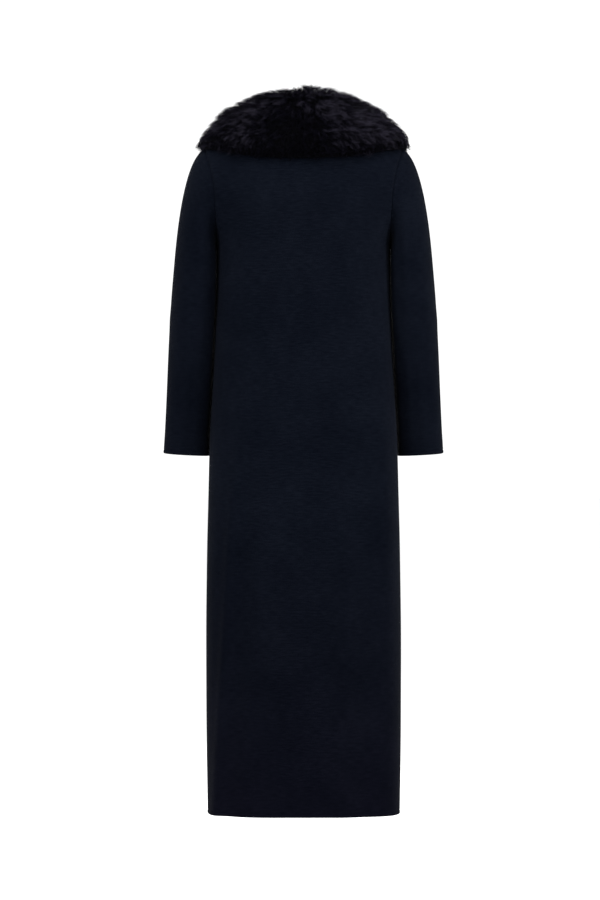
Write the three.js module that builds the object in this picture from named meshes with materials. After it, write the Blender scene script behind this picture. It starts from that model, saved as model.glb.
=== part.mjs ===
// A long knitted coat with a deep plush collar, standing hollow as it is worn.
//
// Millimetres. The origin is on the middle plane, midway between the shoulders and level with the neck ends
// of the shoulder seams. +Z is up, the wearer faces -Y and the wearer's left is +X.
// Every panel is a wall: an outer surface worked out from sections, and the same surface one cloth inward.

import * as THREE from "three";

// ---- Driving sizes ----
const CLOTH = 2.4; // thickness of the double knit
const SEAM = 0.3; // space left between two pieces at a seam
const HEM_Z = -1338;
const UNDERARM_Z = -238;
const NECK_HALF = 75; // half the width of the neck opening at the shoulder seams
const NECK_BACK_Z = -18; // lowest point of the back neckline
const NECK_SHAPE = 3; // how squarely the back neckline turns up to the shoulder
const SHOULDER_HALF = 192; // from the middle to the shoulder point
const SHOULDER = { top: 20, drop: 65, curve: 1.35 }; // the shoulder line, carried on across the neck
const ROLL_BACK = { middle: 200, tip: 120 }; // depth of the back's turn over the shoulder
const ROLL_FRONT = { middle: 210, tip: 150 }; // depth of the front's turn over the shoulder
const LAP_LIFT = CLOTH + 1.2; // how far the right front stands off the left one that it laps over
const LAP_FADE = { fromX: 45, toX: 95, fromZ: -200, toZ: -40 }; // where the lift runs out, out and up

// ---- Mesh density ----
const ROWS_LOW = 16; // hem to underarm
const ROWS_HIGH = 10; // underarm to shoulder
const BACK_COLUMNS = 20;
const NECK_COLUMNS = 4; // columns of half a back that end on the neckline
const FRONT_COLUMNS = 10;
const CAP_RINGS = 7; // armhole to upper arm
const SLEEVE_RINGS = 10; // upper arm to cuff
const COLLAR_BACK_STATIONS = 8; // a whole number for each column on the neckline
const STAND_STEPS = 5;
const FALL_STEPS = 11;

// ---- Sections ----
// Body: half width, depth behind and in front of the side seams, and how square the section is. That is the
// power of a superellipse: 2 for an ellipse, and more for a boxier form.
// Above the underarm the half width is that of the rounded shape the armhole is cut out of.
const BODY = [
  { z: -1338, half: 186.5, back: 112, front: 124, square: 2.9 },
  { z: -1170, half: 188.8, back: 113, front: 125, square: 2.9 },
  { z: -1000, half: 189.5, back: 113, front: 125, square: 2.8 },
  { z: -830, half: 187.8, back: 113, front: 124, square: 2.8 },
  { z: -735, half: 185.6, back: 112, front: 123, square: 2.7 },
  { z: -620, half: 182.7, back: 109, front: 121, square: 2.7 },
  { z: -500, half: 176, back: 104, front: 119, square: 2.6 },
  { z: -410, half: 172.3, back: 101, front: 118, square: 2.6 },
  { z: -325, half: 169.3, back: 101, front: 119, square: 2.6 },
  { z: -238, half: 169, back: 103, front: 118, square: 2.6 },
  { z: -210, half: 174.3, back: 104, front: 115, square: 2.6 },
  { z: -180, half: 189, back: 104, front: 112, square: 2.6 },
  { z: -150, half: 205, back: 104, front: 108, square: 2.6 },
  { z: -120, half: 212.6, back: 104, front: 104, square: 2.6 },
  { z: -90, half: 215, back: 104, front: 100, square: 2.6 },
  { z: -45, half: 216, back: 104, front: 94, square: 2.6 },
  { z: 30, half: 216, back: 104, front: 86, square: 2.6 },
];

// Armhole: distance of the seam from the middle plane.
const ARMHOLE = [
  { z: -238, x: 169 },
  { z: -210, x: 169.3 },
  { z: -180, x: 170 },
  { z: -150, x: 170.8 },
  { z: -120, x: 174 },
  { z: -90, x: 180 },
  { z: -60, x: 188.5 },
  { z: -45, x: 192 },
];

// Front edge: beyond the middle where the fronts lap, then up the V to the shoulder.
const FRONT_EDGE = [
  { z: -1338, x: -30 },
  { z: -340, x: -30 },
  { z: -305, x: -29 },
  { z: -275, x: -22 },
  { z: -250, x: -8 },
  { z: -238, x: 0.8 },
  { z: -215, x: 12 },
  { z: -190, x: 22 },
  { z: -150, x: 38 },
  { z: -100, x: 52.5 },
  { z: -50, x: 65 },
  { z: 2, x: NECK_HALF },
];

// Soft folds of the hanging cloth, as ridges (height over 0) and troughs that run from (x0, z0) to (x1, z1).
const BACK_FOLDS = [
  { x0: 140, z0: -640, x1: 184, z1: -1338, width: 15, height: 5 },
  { x0: 108, z0: -700, x1: 146, z1: -1338, width: 20, height: -4 },
  { x0: -150, z0: -470, x1: -166, z1: -1180, width: 20, height: 4.5 },
  { x0: -112, z0: -560, x1: -122, z1: -1338, width: 24, height: -3.5 },
  { x0: 6, z0: -520, x1: -14, z1: -1338, width: 70, height: -4 },
];
const FRONT_FOLDS = [
  { x0: 96, z0: -300, x1: 118, z1: -1100, width: 24, height: 5 },
  { x0: 140, z0: -520, x1: 158, z1: -1338, width: 20, height: -4 },
  { x0: -88, z0: -280, x1: -124, z1: -1338, width: 26, height: 5 },
  { x0: -142, z0: -600, x1: -160, z1: -1338, width: 18, height: -4 },
];

// Sleeve below the armhole: the ring's outermost and innermost x, its front and back y, and its plane's lean.
const SLEEVE = [
  { z: -262, outer: 251, inner: 157, front: -78, back: 62, leanX: 0.03, leanY: -0.04 },
  { z: -340, outer: 257.5, inner: 158, front: -82, back: 56, leanX: 0.04, leanY: -0.05 },
  { z: -435, outer: 263.5, inner: 162, front: -86, back: 44, leanX: 0.05, leanY: -0.06 },
  { z: -532, outer: 268.6, inner: 168, front: -92, back: 24, leanX: 0.05, leanY: -0.06 },
  { z: -641.5, outer: 275, inner: 177, front: -100, back: -6, leanX: 0.05, leanY: -0.06 },
];
const SLEEVE_SQUARE = 2.3; // power of the sleeve's sections
const SLEEVE_CLEAR = 3.2; // the hanging sleeve stays this far from the body's side
const SLEEVE_SOFTNESS = 5; // how gently the sleeve flattens against that side
const TANGENT_STEP = 20; // length of tube whose direction the cap runs into
// How the sleeve leaves the armhole, at its top, back, bottom and front (turn in quarters of the ring), how
// far the cloth keeps that direction, and how far it keeps the tube's direction above the first section.
const CAP = [
  { turn: 0, outY: 0, outZ: -0.46, reach: 33, fall: 128 },
  { turn: 1, outY: -0.25, outZ: -0.35, reach: 26, fall: 50 },
  { turn: 2, outY: 0, outZ: -0.6, reach: 7, fall: 9 },
  { turn: 3, outY: 0.12, outZ: -0.35, reach: 26, fall: 50 },
  { turn: 4, outY: 0, outZ: -0.46, reach: 33, fall: 128 },
];

// Collar, from the middle of the back (s 0) over the shoulder (s 0.45) to its front end (s 1): the fold of the
// backing (roll), the free edge, how far the fall arches over the straight line between them, and the depth of
// the pile. Its foot is on the neck edge.
const HIGH_S = 0.45; // the station on the shoulder seam
const COLLAR = [
  { s: 0, rollX: 0, rollY: 72, rollZ: 40, edgeX: 0, edgeY: 89, edgeZ: -73, arch: 5, pile: 24 },
  { s: 0.15, rollX: 38, rollY: 68, rollZ: 40, edgeX: 60, edgeY: 86, edgeZ: -71, arch: 7, pile: 24 },
  { s: 0.27, rollX: 68, rollY: 52, rollZ: 38, edgeX: 113, edgeY: 73, edgeZ: -66, arch: 9, pile: 24 },
  { s: 0.36, rollX: 86, rollY: 28, rollZ: 36, edgeX: 159, edgeY: 47, edgeZ: -57, arch: 10, pile: 24 },
  { s: 0.45, rollX: 94, rollY: 2, rollZ: 32, edgeX: 199, edgeY: 3, edgeZ: -50, arch: 9, pile: 24 },
  { s: 0.53, rollX: 89, rollY: -32, rollZ: 14, edgeX: 189, edgeY: -30, edgeZ: -57, arch: 8, pile: 23 },
  { s: 0.61, rollX: 72, rollY: -64, rollZ: -20, edgeX: 170, edgeY: -52, edgeZ: -75, arch: 6, pile: 22 },
  { s: 0.72, rollX: 54, rollY: -98, rollZ: -78, edgeX: 138, edgeY: -84, edgeZ: -114, arch: 5, pile: 21 },
  { s: 0.83, rollX: 39, rollY: -120, rollZ: -142, edgeX: 100, edgeY: -106, edgeZ: -168, arch: 4, pile: 19 },
  { s: 0.93, rollX: 24, rollY: -130, rollZ: -198, edgeX: 62, edgeY: -120, edgeZ: -218, arch: 2, pile: 16 },
  { s: 1, rollX: 11, rollY: -134, rollZ: -240, edgeX: 26, edgeY: -127, edgeZ: -258, arch: 1, pile: 9 },
];
const COLLAR_CLEAR = 2.4; // the backing stays this far off the body
const COLLAR_SEAM = 0.5; // space between the neck edge and the foot
const COLLAR_RIM = 2; // depth of the pile at the foot and at the free edge
const FOOT_TAPER = 0.3; // share of the stand over which the pile grows from the foot
const EDGE_TAPER = 0.34; // share of the fall over which the pile rounds down to the edge
const SEAM_DIP = { depth: 0.2, width: 0.035 }; // the pile parts along the seam behind the neck
const PILE_RIDGE = { start: 0.07, end: 0.31, width: 0.06, height: 0.16 }; // soft ridge down each side behind
const PILE_HOLLOW = { reach: 0.13, depth: 0.14 }; // the pile is flatter between the ridges

// ---- Small tools ----

/** A table's column at a place between its rows: cubics whose slopes never let them overshoot the rows. */
function along(table, key, column, at) {
  const last = table.length - 1;
  const gap = (i) => table[i + 1][key] - table[i][key];
  const rise = (i) => (table[i + 1][column] - table[i][column]) / gap(i);
  const slope = (i) => {
    if (i === 0) return rise(0);
    if (i === last) return rise(last - 1);
    const before = rise(i - 1);
    const after = rise(i);
    return before * after <= 0 ? 0 : (2 * before * after) / (before + after);
  };
  let i = 0;
  while (i < last - 1 && at > table[i + 1][key]) i += 1;
  const t = THREE.MathUtils.clamp((at - table[i][key]) / gap(i), 0, 1);
  const t2 = t * t;
  const t3 = t2 * t;
  return (
    table[i][column] * (2 * t3 - 3 * t2 + 1) +
    table[i + 1][column] * (3 * t2 - 2 * t3) +
    slope(i) * gap(i) * (t3 - 2 * t2 + t) +
    slope(i + 1) * gap(i) * (t3 - t2)
  );
}

const body = (column, z) => along(BODY, "z", column, z);
const mix = (a, b, t) => a + (b - a) * t;

/** A power that keeps the sign of its base. */
const signedPower = (value, power) => Math.sign(value) * Math.abs(value) ** power;

/** The larger of two numbers, rounded over where they meet. */
const softMax = (a, b, softness) => (a + b + Math.hypot(a - b, softness)) / 2;

/** A point on a cubic Bezier curve. */
function bezier(points, t) {
  const weights = [(1 - t) ** 3, 3 * t * (1 - t) ** 2, 3 * t * t * (1 - t), t ** 3];
  const sum = new THREE.Vector3();
  points.forEach((p, i) => sum.addScaledVector(p, weights[i]));
  return sum;
}

/** The grid of a function of two parameters, as rows of points. */
const grid = (rows, columns, point) => rows.map((v) => columns.map((u) => point(u, v)));

/** Evenly spaced numbers from a to b, both included. */
const steps = (a, b, count) => Array.from({ length: count + 1 }, (_, i) => a + ((b - a) * i) / count);

/** The unit normals of a grid of points, from the differences between neighbours. */
function gridNormals(points, closed) {
  const rows = points.length;
  const columns = points[0].length;
  const at = (i, j) => points[i][closed ? (j + columns) % columns : THREE.MathUtils.clamp(j, 0, columns - 1)];
  return points.map((row, i) =>
    row.map((_, j) => {
      const across = at(i, j + 1).clone().sub(at(i, j - 1));
      const up = at(Math.min(i + 1, rows - 1), j).clone().sub(at(Math.max(i - 1, 0), j));
      return across.cross(up).normalize();
    }),
  );
}

/** A closed mesh between two grids of points. A closed grid joins its last column to its first. */
function wall(outer, inner, closed = false) {
  const rows = outer.length;
  const columns = outer[0].length;
  const positions = [...outer.flat(), ...inner.flat()].flatMap((p) => [p.x, p.y, p.z]);
  const index = [];
  const face = (a, b, c, d) => index.push(a, b, c, a, c, d);
  const out = (i, j) => i * columns + (j % columns);
  const into = (i, j) => rows * columns + out(i, j);
  const spans = closed ? columns : columns - 1;
  for (let i = 0; i < rows - 1; i += 1) {
    for (let j = 0; j < spans; j += 1) {
      face(out(i, j), out(i, j + 1), out(i + 1, j + 1), out(i + 1, j));
      face(into(i, j), into(i + 1, j), into(i + 1, j + 1), into(i, j + 1));
    }
  }
  for (let j = 0; j < spans; j += 1) {
    face(out(0, j + 1), out(0, j), into(0, j), into(0, j + 1));
    face(out(rows - 1, j), out(rows - 1, j + 1), into(rows - 1, j + 1), into(rows - 1, j));
  }
  for (let i = 0; i < rows - 1 && !closed; i += 1) {
    face(out(i, 0), out(i + 1, 0), into(i + 1, 0), into(i, 0));
    face(out(i + 1, spans), out(i, spans), into(i, spans), into(i + 1, spans));
  }
  const geometry = new THREE.BufferGeometry();
  geometry.setAttribute("position", new THREE.Float32BufferAttribute(positions, 3));
  geometry.setIndex(volumeOf(positions, index) < 0 ? index.reverse() : index);
  geometry.computeVertexNormals();
  return geometry;
}

/** The volume that the triangles enclose, negative where they face inwards. */
function volumeOf(positions, index) {
  const corner = (i) => new THREE.Vector3().fromArray(positions, index[i] * 3);
  let six = 0;
  for (let i = 0; i < index.length; i += 3) six += corner(i).dot(corner(i + 1).cross(corner(i + 2)));
  return six / 6;
}

// ---- The body's rounded shape ----

/** Height of the shoulder line over a distance from the middle. */
const shoulderZ = (x) => SHOULDER.top - SHOULDER.drop * (Math.abs(x) / SHOULDER_HALF) ** SHOULDER.curve;

/** How far the surface has turned over the shoulder: 0 on the upright part, 1 on the shoulder line. */
function turnOver(x, z, roll) {
  const depth = mix(roll.middle, roll.tip, Math.min(1, Math.abs(x) / SHOULDER_HALF));
  return Math.max(0, (z - shoulderZ(x) + depth) / depth);
}

/** Depth of the back or front surface from the plane of the side seams, at a place in the x-z plane. */
function depthAt(x, z, facing) {
  const square = body("square", z);
  const across = Math.max(0, 1 - (Math.abs(x) / body("half", z)) ** square) ** (1 / square);
  const turn = turnOver(x, z, facing === "back" ? ROLL_BACK : ROLL_FRONT);
  return body(facing, z) * across * Math.sqrt(Math.max(0, 1 - turn * turn));
}

/** Height of a row over one column: v runs from the hem (0) to the underarm (1) and the top edge (2). */
function rowZ(v, topZ) {
  if (v <= 1) return mix(HEM_Z, UNDERARM_Z, v);
  return mix(UNDERARM_Z, topZ, (1 - Math.cos(Math.PI * (v - 1))) / 2);
}

/** Distance from the middle of the panel's outer edge at a row: the side seam, then the armhole. */
function edgeX(v) {
  const z = rowZ(v, shoulderZ(SHOULDER_HALF));
  return v <= 1 ? body("half", z) : along(ARMHOLE, "z", "x", z);
}

/** Height that the soft folds add at a place in the x-z plane. Each fades in at its top and eases below. */
function foldAt(folds, x, z) {
  return folds.reduce((sum, f) => {
    const t = (z - f.z0) / (f.z1 - f.z0);
    const { smoothstep } = THREE.MathUtils;
    const fade = smoothstep(t, 0, 0.35) * (1 - 0.25 * smoothstep(t, 0.6, 1.1));
    const off = (x - mix(f.x0, f.x1, t)) / f.width;
    return sum + f.height * fade * Math.exp(-off * off);
  }, 0);
}

/** Share of a fold that is left close to the side seam, so that both panels still meet there. */
const nearSeam = (u) => 1 - THREE.MathUtils.smoothstep(Math.abs(u), 0.86, 1);

// ---- Back ----

/** Top edge of the back at a distance from the middle: the neckline, then the shoulder seam. */
function backTopZ(x) {
  if (Math.abs(x) >= NECK_HALF) return shoulderZ(x);
  return mix(NECK_BACK_Z, shoulderZ(NECK_HALF), (Math.abs(x) / NECK_HALF) ** NECK_SHAPE);
}

/** Share of the half width at a column of the top edge. One column ends where neck and shoulder meet. */
function topShare(u) {
  const neckU = (2 * NECK_COLUMNS) / BACK_COLUMNS;
  const neckShare = NECK_HALF / SHOULDER_HALF;
  const size = Math.abs(u);
  const share = size < neckU ? (neckShare * size) / neckU : mix(neckShare, 1, (size - neckU) / (1 - neckU));
  return Math.sign(u) * share;
}

/** The back's outer surface without folds: u from the right edge (-1) to the left edge (1), v as in rowZ. */
function backBase(u, v) {
  const power = 2 / body("square", rowZ(v, 0));
  const round = signedPower(Math.sin((u * Math.PI) / 2), power);
  if (v <= 1) {
    const z = rowZ(v, 0);
    const y = body("back", z) * Math.cos((u * Math.PI) / 2) ** power;
    return new THREE.Vector3(body("half", z) * round, y + SEAM / 2, z);
  }
  const x = edgeX(v) * mix(round, topShare(u), v - 1);
  const z = rowZ(v, backTopZ(SHOULDER_HALF * topShare(u)));
  return new THREE.Vector3(x, depthAt(x, z, "back") + SEAM / 2, z);
}

/** The outer and inner points of a panel whose side and shoulder seams lie in the plane y = 0. */
function panelPoints(rows, columns, base, folds, isSeam, lift = () => 0) {
  const points = grid(rows, columns, base);
  const normals = gridNormals(points, false);
  const middle = columns.length >> 1;
  const outward = Math.sign(normals[0][middle].y * points[0][middle].y);
  const outer = points.map((row, i) =>
    row.map((p, j) => {
      const n = normals[i][j].multiplyScalar(outward);
      if (isSeam(columns[j], rows[i])) n.setY(0).normalize();
      const fold = foldAt(folds, p.x, p.z) * nearSeam(columns[j]) + lift(p);
      return p.clone().addScaledVector(n, fold);
    }),
  );
  const inner = outer.map((row, i) => row.map((p, j) => p.clone().addScaledVector(normals[i][j], -CLOTH)));
  return { outer, inner };
}

const ROWS = [...steps(0, 1, ROWS_LOW), ...steps(1, 2, ROWS_HIGH).slice(1)];

function backPoints() {
  const onSideSeam = (u, v) => Math.abs(u) > 0.999 && v <= 1;
  const onShoulderSeam = (u, v) => v > 1.999 && Math.abs(topShare(u)) * SHOULDER_HALF >= NECK_HALF - 0.01;
  const isSeam = (u, v) => onSideSeam(u, v) || onShoulderSeam(u, v);
  return panelPoints(ROWS, steps(-1, 1, BACK_COLUMNS), backBase, BACK_FOLDS, isSeam);
}

// ---- Fronts ----

/** A front's outer surface without folds: u from the front edge (0) to the side seam or armhole (1). */
function frontBase(side, u, v) {
  const topX = mix(NECK_HALF, SHOULDER_HALF, u);
  const z = rowZ(v, shoulderZ(topX));
  const inX = along(FRONT_EDGE, "z", "x", z);
  if (v <= 1) {
    const square = body("square", z);
    const startTurn = Math.asin(signedPower(inX / body("half", z), square / 2));
    const turn = mix(startTurn, Math.PI / 2, u);
    const x = body("half", z) * signedPower(Math.sin(turn), 2 / square);
    const y = body("front", z) * Math.cos(turn) ** (2 / square);
    return new THREE.Vector3(side * x, -y - SEAM / 2, z);
  }
  const square = body("square", z);
  const startTurn = Math.asin(signedPower(inX / edgeX(v), square / 2));
  const round = signedPower(Math.sin(mix(startTurn, Math.PI / 2, u)), 2 / square);
  const x = mix(edgeX(v) * round, mix(inX, edgeX(v), u), v - 1);
  return new THREE.Vector3(side * x, -depthAt(x, z, "front") - SEAM / 2, z);
}

/** A front panel. Side 1 is the wearer's left, and -1 the right, which laps over the left. */
function frontPoints(side) {
  const isSeam = (u, v) => (u > 0.999 && v <= 1) || v > 1.999;
  const { smoothstep } = THREE.MathUtils;
  const lapLift = ({ x, z }) =>
    LAP_LIFT *
    (1 - smoothstep(-x, LAP_FADE.fromX, LAP_FADE.toX)) *
    (1 - smoothstep(z, LAP_FADE.fromZ, LAP_FADE.toZ));
  const lift = side < 0 ? lapLift : () => 0;
  const base = (u, v) => frontBase(side, u, v);
  return panelPoints(ROWS, steps(0, 1, FRONT_COLUMNS), base, FRONT_FOLDS, isSeam, lift);
}

// ---- Sleeves ----

/** Distance of the body's side from the middle plane, at a place in front of or behind it. */
function bodySide(y, z) {
  const square = body("square", z);
  const depth = body(y > 0 ? "back" : "front", z);
  return body("half", z) * Math.max(0, 1 - (Math.abs(y) / depth) ** square) ** (1 / square);
}

/** The left armhole's edge on one face of the body, from the shoulder down the back and up the front. */
function armhole(backFace, frontFace) {
  const behind = backFace.slice(ROWS_LOW).map((row) => row[BACK_COLUMNS].clone());
  const before = frontFace.slice(ROWS_LOW + 1, -1).map((row) => row[FRONT_COLUMNS].clone());
  behind[0].y = 0;
  behind[ROWS_HIGH].y = 0;
  return [...behind.reverse(), ...before];
}

/** One point of the hanging sleeve: turn in quarters of the ring from the outside by way of the back. */
function sleevePoint(turn, z) {
  const size = (column) => along([...SLEEVE].reverse(), "z", column, z);
  const angle = (turn * Math.PI) / 2;
  const halfX = (size("outer") - size("inner")) / 2;
  const halfY = (size("back") - size("front")) / 2;
  const offX = halfX * signedPower(Math.cos(angle), 2 / SLEEVE_SQUARE);
  const offY = halfY * signedPower(Math.sin(angle), 2 / SLEEVE_SQUARE);
  const y = size("front") + halfY + offY;
  const height = z + size("leanX") * offX + size("leanY") * offY;
  const clear = bodySide(y, height) + SLEEVE_CLEAR;
  return new THREE.Vector3(softMax(size("outer") - halfX + offX, clear, SLEEVE_SOFTNESS), y, height);
}

/** The direction in which the sleeve leaves the armhole at a turn. */
function leaving(turn) {
  return new THREE.Vector3(1, along(CAP, "turn", "outY", turn), along(CAP, "turn", "outZ", turn)).normalize();
}

/** Across the seam from the panels' edges, square to the seam and to the cloth's thickness. */
function acrossSeam(seam, seamInside) {
  return seam.map((p, j) => {
    const seamwise = seam[(j + 1) % seam.length].clone().sub(seam.at(j - 1));
    return seamwise.cross(p.clone().sub(seamInside[j])).setLength(SEAM);
  });
}

/** The left sleeve's outer rings: a cap that curves out of the armhole, then the tube down to the cuff. */
function sleeveRings(start, turns) {
  const topZ = SLEEVE[0].z;
  const cuffZ = SLEEVE[SLEEVE.length - 1].z;
  const curves = start.map((p, j) => {
    const end = sleevePoint(turns[j], topZ);
    const up = end.clone().sub(sleevePoint(turns[j], topZ - TANGENT_STEP)).normalize();
    const first = p.clone().addScaledVector(leaving(turns[j]), along(CAP, "turn", "reach", turns[j]));
    const second = end.clone().addScaledVector(up, along(CAP, "turn", "fall", turns[j]));
    return [p, first, second, end];
  });
  const capRings = steps(0, 1, CAP_RINGS).map((t) => curves.map((curve) => bezier(curve, t)));
  const tubeRings = steps(topZ, cuffZ, SLEEVE_RINGS).slice(1);
  return [...capRings, ...tubeRings.map((z) => turns.map((turn) => sleevePoint(turn, z)))];
}

/** A sleeve. Side 1 is the wearer's left. Its first ring meets the panels' edges face to face. */
function sleeve(side) {
  const behind = backPoints();
  const before = frontPoints(1);
  const seam = armhole(behind.outer, before.outer);
  const seamInside = armhole(behind.inner, before.inner);
  const away = acrossSeam(seam, seamInside);
  const turns = seam.map((_, j) => (4 * j) / seam.length);
  const rings = sleeveRings(seam.map((p, j) => p.clone().add(away[j])), turns);
  const normals = gridNormals(rings, true);
  const inner = rings.map((ring, i) => ring.map((p, j) => p.clone().addScaledVector(normals[i][j], CLOTH)));
  inner[0] = seamInside.map((p, j) => p.clone().add(away[j]));
  const mirrored = (points) => points.map((ring) => ring.map((p) => new THREE.Vector3(side * p.x, p.y, p.z)));
  return wall(mirrored(rings), mirrored(inner), true);
}

// ---- Collar ----

/** The neck edge of one side's panels, from the middle of the back to the shoulder and down the front. */
function neckEdge(side) {
  const middle = BACK_COLUMNS / 2;
  const behind = backPoints().outer[ROWS_LOW + ROWS_HIGH].slice(middle, middle + NECK_COLUMNS + 1);
  const before = frontPoints(side).outer.slice(ROWS_LOW, -1).map((row) => row[0].setX(side * row[0].x));
  return { behind, before: [behind[NECK_COLUMNS], ...before.reverse()] };
}

/** A place on a line of points, at a share of the number of its spans. */
function onLine(points, share) {
  const at = share * (points.length - 1);
  const i = Math.min(Math.floor(at), points.length - 2);
  return points[i].clone().lerp(points[i + 1], at - i);
}

/** Where the collar's stand starts at station s, on the neck edge. */
function footAt(neck, s) {
  return s <= HIGH_S ? onLine(neck.behind, s / HIGH_S) : onLine(neck.before, (s - HIGH_S) / (1 - HIGH_S));
}

/** How deep a point lies in the body's rounded shape (under 1 inside, over 1 outside). */
function bodyLevel(p) {
  const facing = p.y > 0 ? "back" : "front";
  const square = body("square", p.z);
  const across = Math.max(0.02, 1 - (Math.abs(p.x) / body("half", p.z)) ** square) ** (1 / square);
  const turn = turnOver(p.x, p.z, facing === "back" ? ROLL_BACK : ROLL_FRONT);
  return Math.hypot(p.y / (body(facing, p.z) * across), turn);
}

/** Moves a point straight out of the body until it is the asked distance off the surface. */
function clearOfBody(point, distance) {
  const p = point.clone();
  const step = 0.5;
  for (let i = 0; i < 6; i += 1) {
    const level = bodyLevel(p);
    const slope = new THREE.Vector3(
      bodyLevel(p.clone().setX(p.x + step)) - bodyLevel(p.clone().setX(p.x - step)),
      bodyLevel(p.clone().setY(p.y + step)) - bodyLevel(p.clone().setY(p.y - step)),
      bodyLevel(p.clone().setZ(p.z + step)) - bodyLevel(p.clone().setZ(p.z - step)),
    ).divideScalar(2 * step);
    const off = (level - 1) / slope.length();
    if (off < distance) p.addScaledVector(slope.normalize(), distance - off);
  }
  return p;
}

/** The collar's backing at station s: w runs from the foot (0) to the fold (1) and the free edge (2). */
function backingAt(foot, s, w) {
  const at = (column) => along(COLLAR, "s", column, s);
  const roll = new THREE.Vector3(at("rollX"), at("rollY"), at("rollZ"));
  const edge = new THREE.Vector3(at("edgeX"), at("edgeY"), at("edgeZ"));
  const out = edge.clone().sub(roll);
  const lift = new THREE.Vector3().crossVectors(collarCourse(s), out).normalize();
  if (w <= 1) {
    const up = roll.clone().sub(foot);
    const start = foot.clone().addScaledVector(up.clone().normalize(), COLLAR_SEAM);
    const first = start.clone().addScaledVector(up, 0.35);
    const second = roll.clone().addScaledVector(lift, -0.35 * up.length());
    return bezier([start, first, second, roll], w);
  }
  const first = roll.clone().addScaledVector(out, 0.3).addScaledVector(lift, at("arch") * 1.5);
  const second = roll.clone().addScaledVector(out, 0.72).addScaledVector(lift, at("arch") * 1.2);
  return bezier([roll, first, second, edge], w - 1);
}

/** The direction in which the collar's fold runs at a station. */
function collarCourse(s) {
  const near = 0.01;
  const fold = (place) => {
    const t = THREE.MathUtils.clamp(place, 0, 1);
    return new THREE.Vector3(...["rollX", "rollY", "rollZ"].map((column) => along(COLLAR, "s", column, t)));
  };
  return fold(s + near).sub(fold(s - near)).normalize();
}

/** Depth of the pile over the backing. */
function pileAt(s, w) {
  const bell = (x) => Math.exp(-x * x);
  const fall = Math.max(0, w - 1);
  const crest = mix(PILE_RIDGE.start, PILE_RIDGE.end, fall);
  const ridge = PILE_RIDGE.height * bell((s - crest) / PILE_RIDGE.width);
  const hollow = PILE_HOLLOW.depth * bell(s / mix(PILE_HOLLOW.reach * 0.4, PILE_HOLLOW.reach, fall)) * fall;
  const dip = SEAM_DIP.depth * bell(s / SEAM_DIP.width);
  const full = along(COLLAR, "s", "pile", s) * (1 + (w > 1 ? ridge - hollow : 0) - dip);
  const fromFoot = Math.min(1, w / FOOT_TAPER);
  const toEdge = Math.min(1, (2 - w) / EDGE_TAPER);
  const round = Math.sqrt(fromFoot * (2 - fromFoot)) * Math.sqrt(toEdge * (2 - toEdge));
  return COLLAR_RIM + (full - COLLAR_RIM) * round;
}

/** Half of the collar: a band of pile on a folded backing, kept on its own side. Side 1 is the left. */
function collar(side) {
  const across = [...steps(0, 1, STAND_STEPS), ...steps(1, 2, FALL_STEPS).slice(1)];
  const stations = [...steps(0, HIGH_S, COLLAR_BACK_STATIONS), ...steps(HIGH_S, 1, ROWS_HIGH).slice(1)];
  const neck = neckEdge(side);
  const backing = grid(stations, across, (w, s) => {
    const p = backingAt(footAt(neck, s), s, w);
    return w > FOOT_TAPER ? clearOfBody(p, COLLAR_CLEAR + (s > HIGH_S ? LAP_LIFT : 0)) : p;
  });
  const normals = gridNormals(backing, false);
  const pile = backing.map((row, i) =>
    row.map((p, j) => p.clone().addScaledVector(normals[i][j], -pileAt(stations[i], across[j]))),
  );
  const own = (p, i) => new THREE.Vector3(side * (i === 0 ? SEAM / 2 : Math.max(p.x, SEAM / 2)), p.y, p.z);
  const place = (points) => points.map((row, i) => row.map((p) => own(p, i)));
  return wall(place(pile), place(backing));
}

// ---- The coat ----

const knit = new THREE.MeshStandardMaterial({ color: 0x10141d, roughness: 0.88, metalness: 0 });
const plush = new THREE.MeshStandardMaterial({ color: 0x0d0d11, roughness: 0.7, metalness: 0 });

const coat = new THREE.Group();
function add(name, geometry, material) {
  const mesh = new THREE.Mesh(geometry, material);
  mesh.name = name;
  coat.add(mesh);
}

const panel = ({ outer, inner }) => wall(outer, inner);
add("back", panel(backPoints()), knit);
add("front_left", panel(frontPoints(1)), knit);
add("front_right", panel(frontPoints(-1)), knit);
add("sleeve_left", sleeve(1), knit);
add("sleeve_right", sleeve(-1), knit);
add("collar_left", collar(1), plush);
add("collar_right", collar(-1), plush);

export default coat;
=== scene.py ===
# %% [markdown]
# # A long knitted coat with a fur collar
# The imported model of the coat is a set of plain, closed walls. Here each wall is worked out again on a finer
# grid from the same sizes, with what a tailor would see up close: seams that sink in, a turned hem, cloth
# that eases round the armhole, stitches you can count, and fur in single strands. Everything is in the
# model's own frame: +Z is up, the wearer faces -Y and the wearer's left is +X.

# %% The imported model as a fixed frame
from functools import partial

import bpy
import numpy as np
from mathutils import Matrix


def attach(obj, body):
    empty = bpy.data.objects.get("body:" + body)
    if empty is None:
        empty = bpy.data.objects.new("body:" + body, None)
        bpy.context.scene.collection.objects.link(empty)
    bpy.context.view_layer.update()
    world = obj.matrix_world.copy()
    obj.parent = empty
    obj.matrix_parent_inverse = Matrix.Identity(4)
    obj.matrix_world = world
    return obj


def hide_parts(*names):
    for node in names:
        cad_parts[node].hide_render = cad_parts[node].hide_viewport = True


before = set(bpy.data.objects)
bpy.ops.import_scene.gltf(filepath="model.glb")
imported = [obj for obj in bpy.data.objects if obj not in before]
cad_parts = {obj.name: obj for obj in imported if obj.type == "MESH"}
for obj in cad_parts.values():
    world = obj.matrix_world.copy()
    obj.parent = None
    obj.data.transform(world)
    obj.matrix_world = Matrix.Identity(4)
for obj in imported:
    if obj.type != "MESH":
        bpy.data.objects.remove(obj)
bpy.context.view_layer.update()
MM = 0.001  # the tables below are in millimetres, and Blender is in metres
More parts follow.
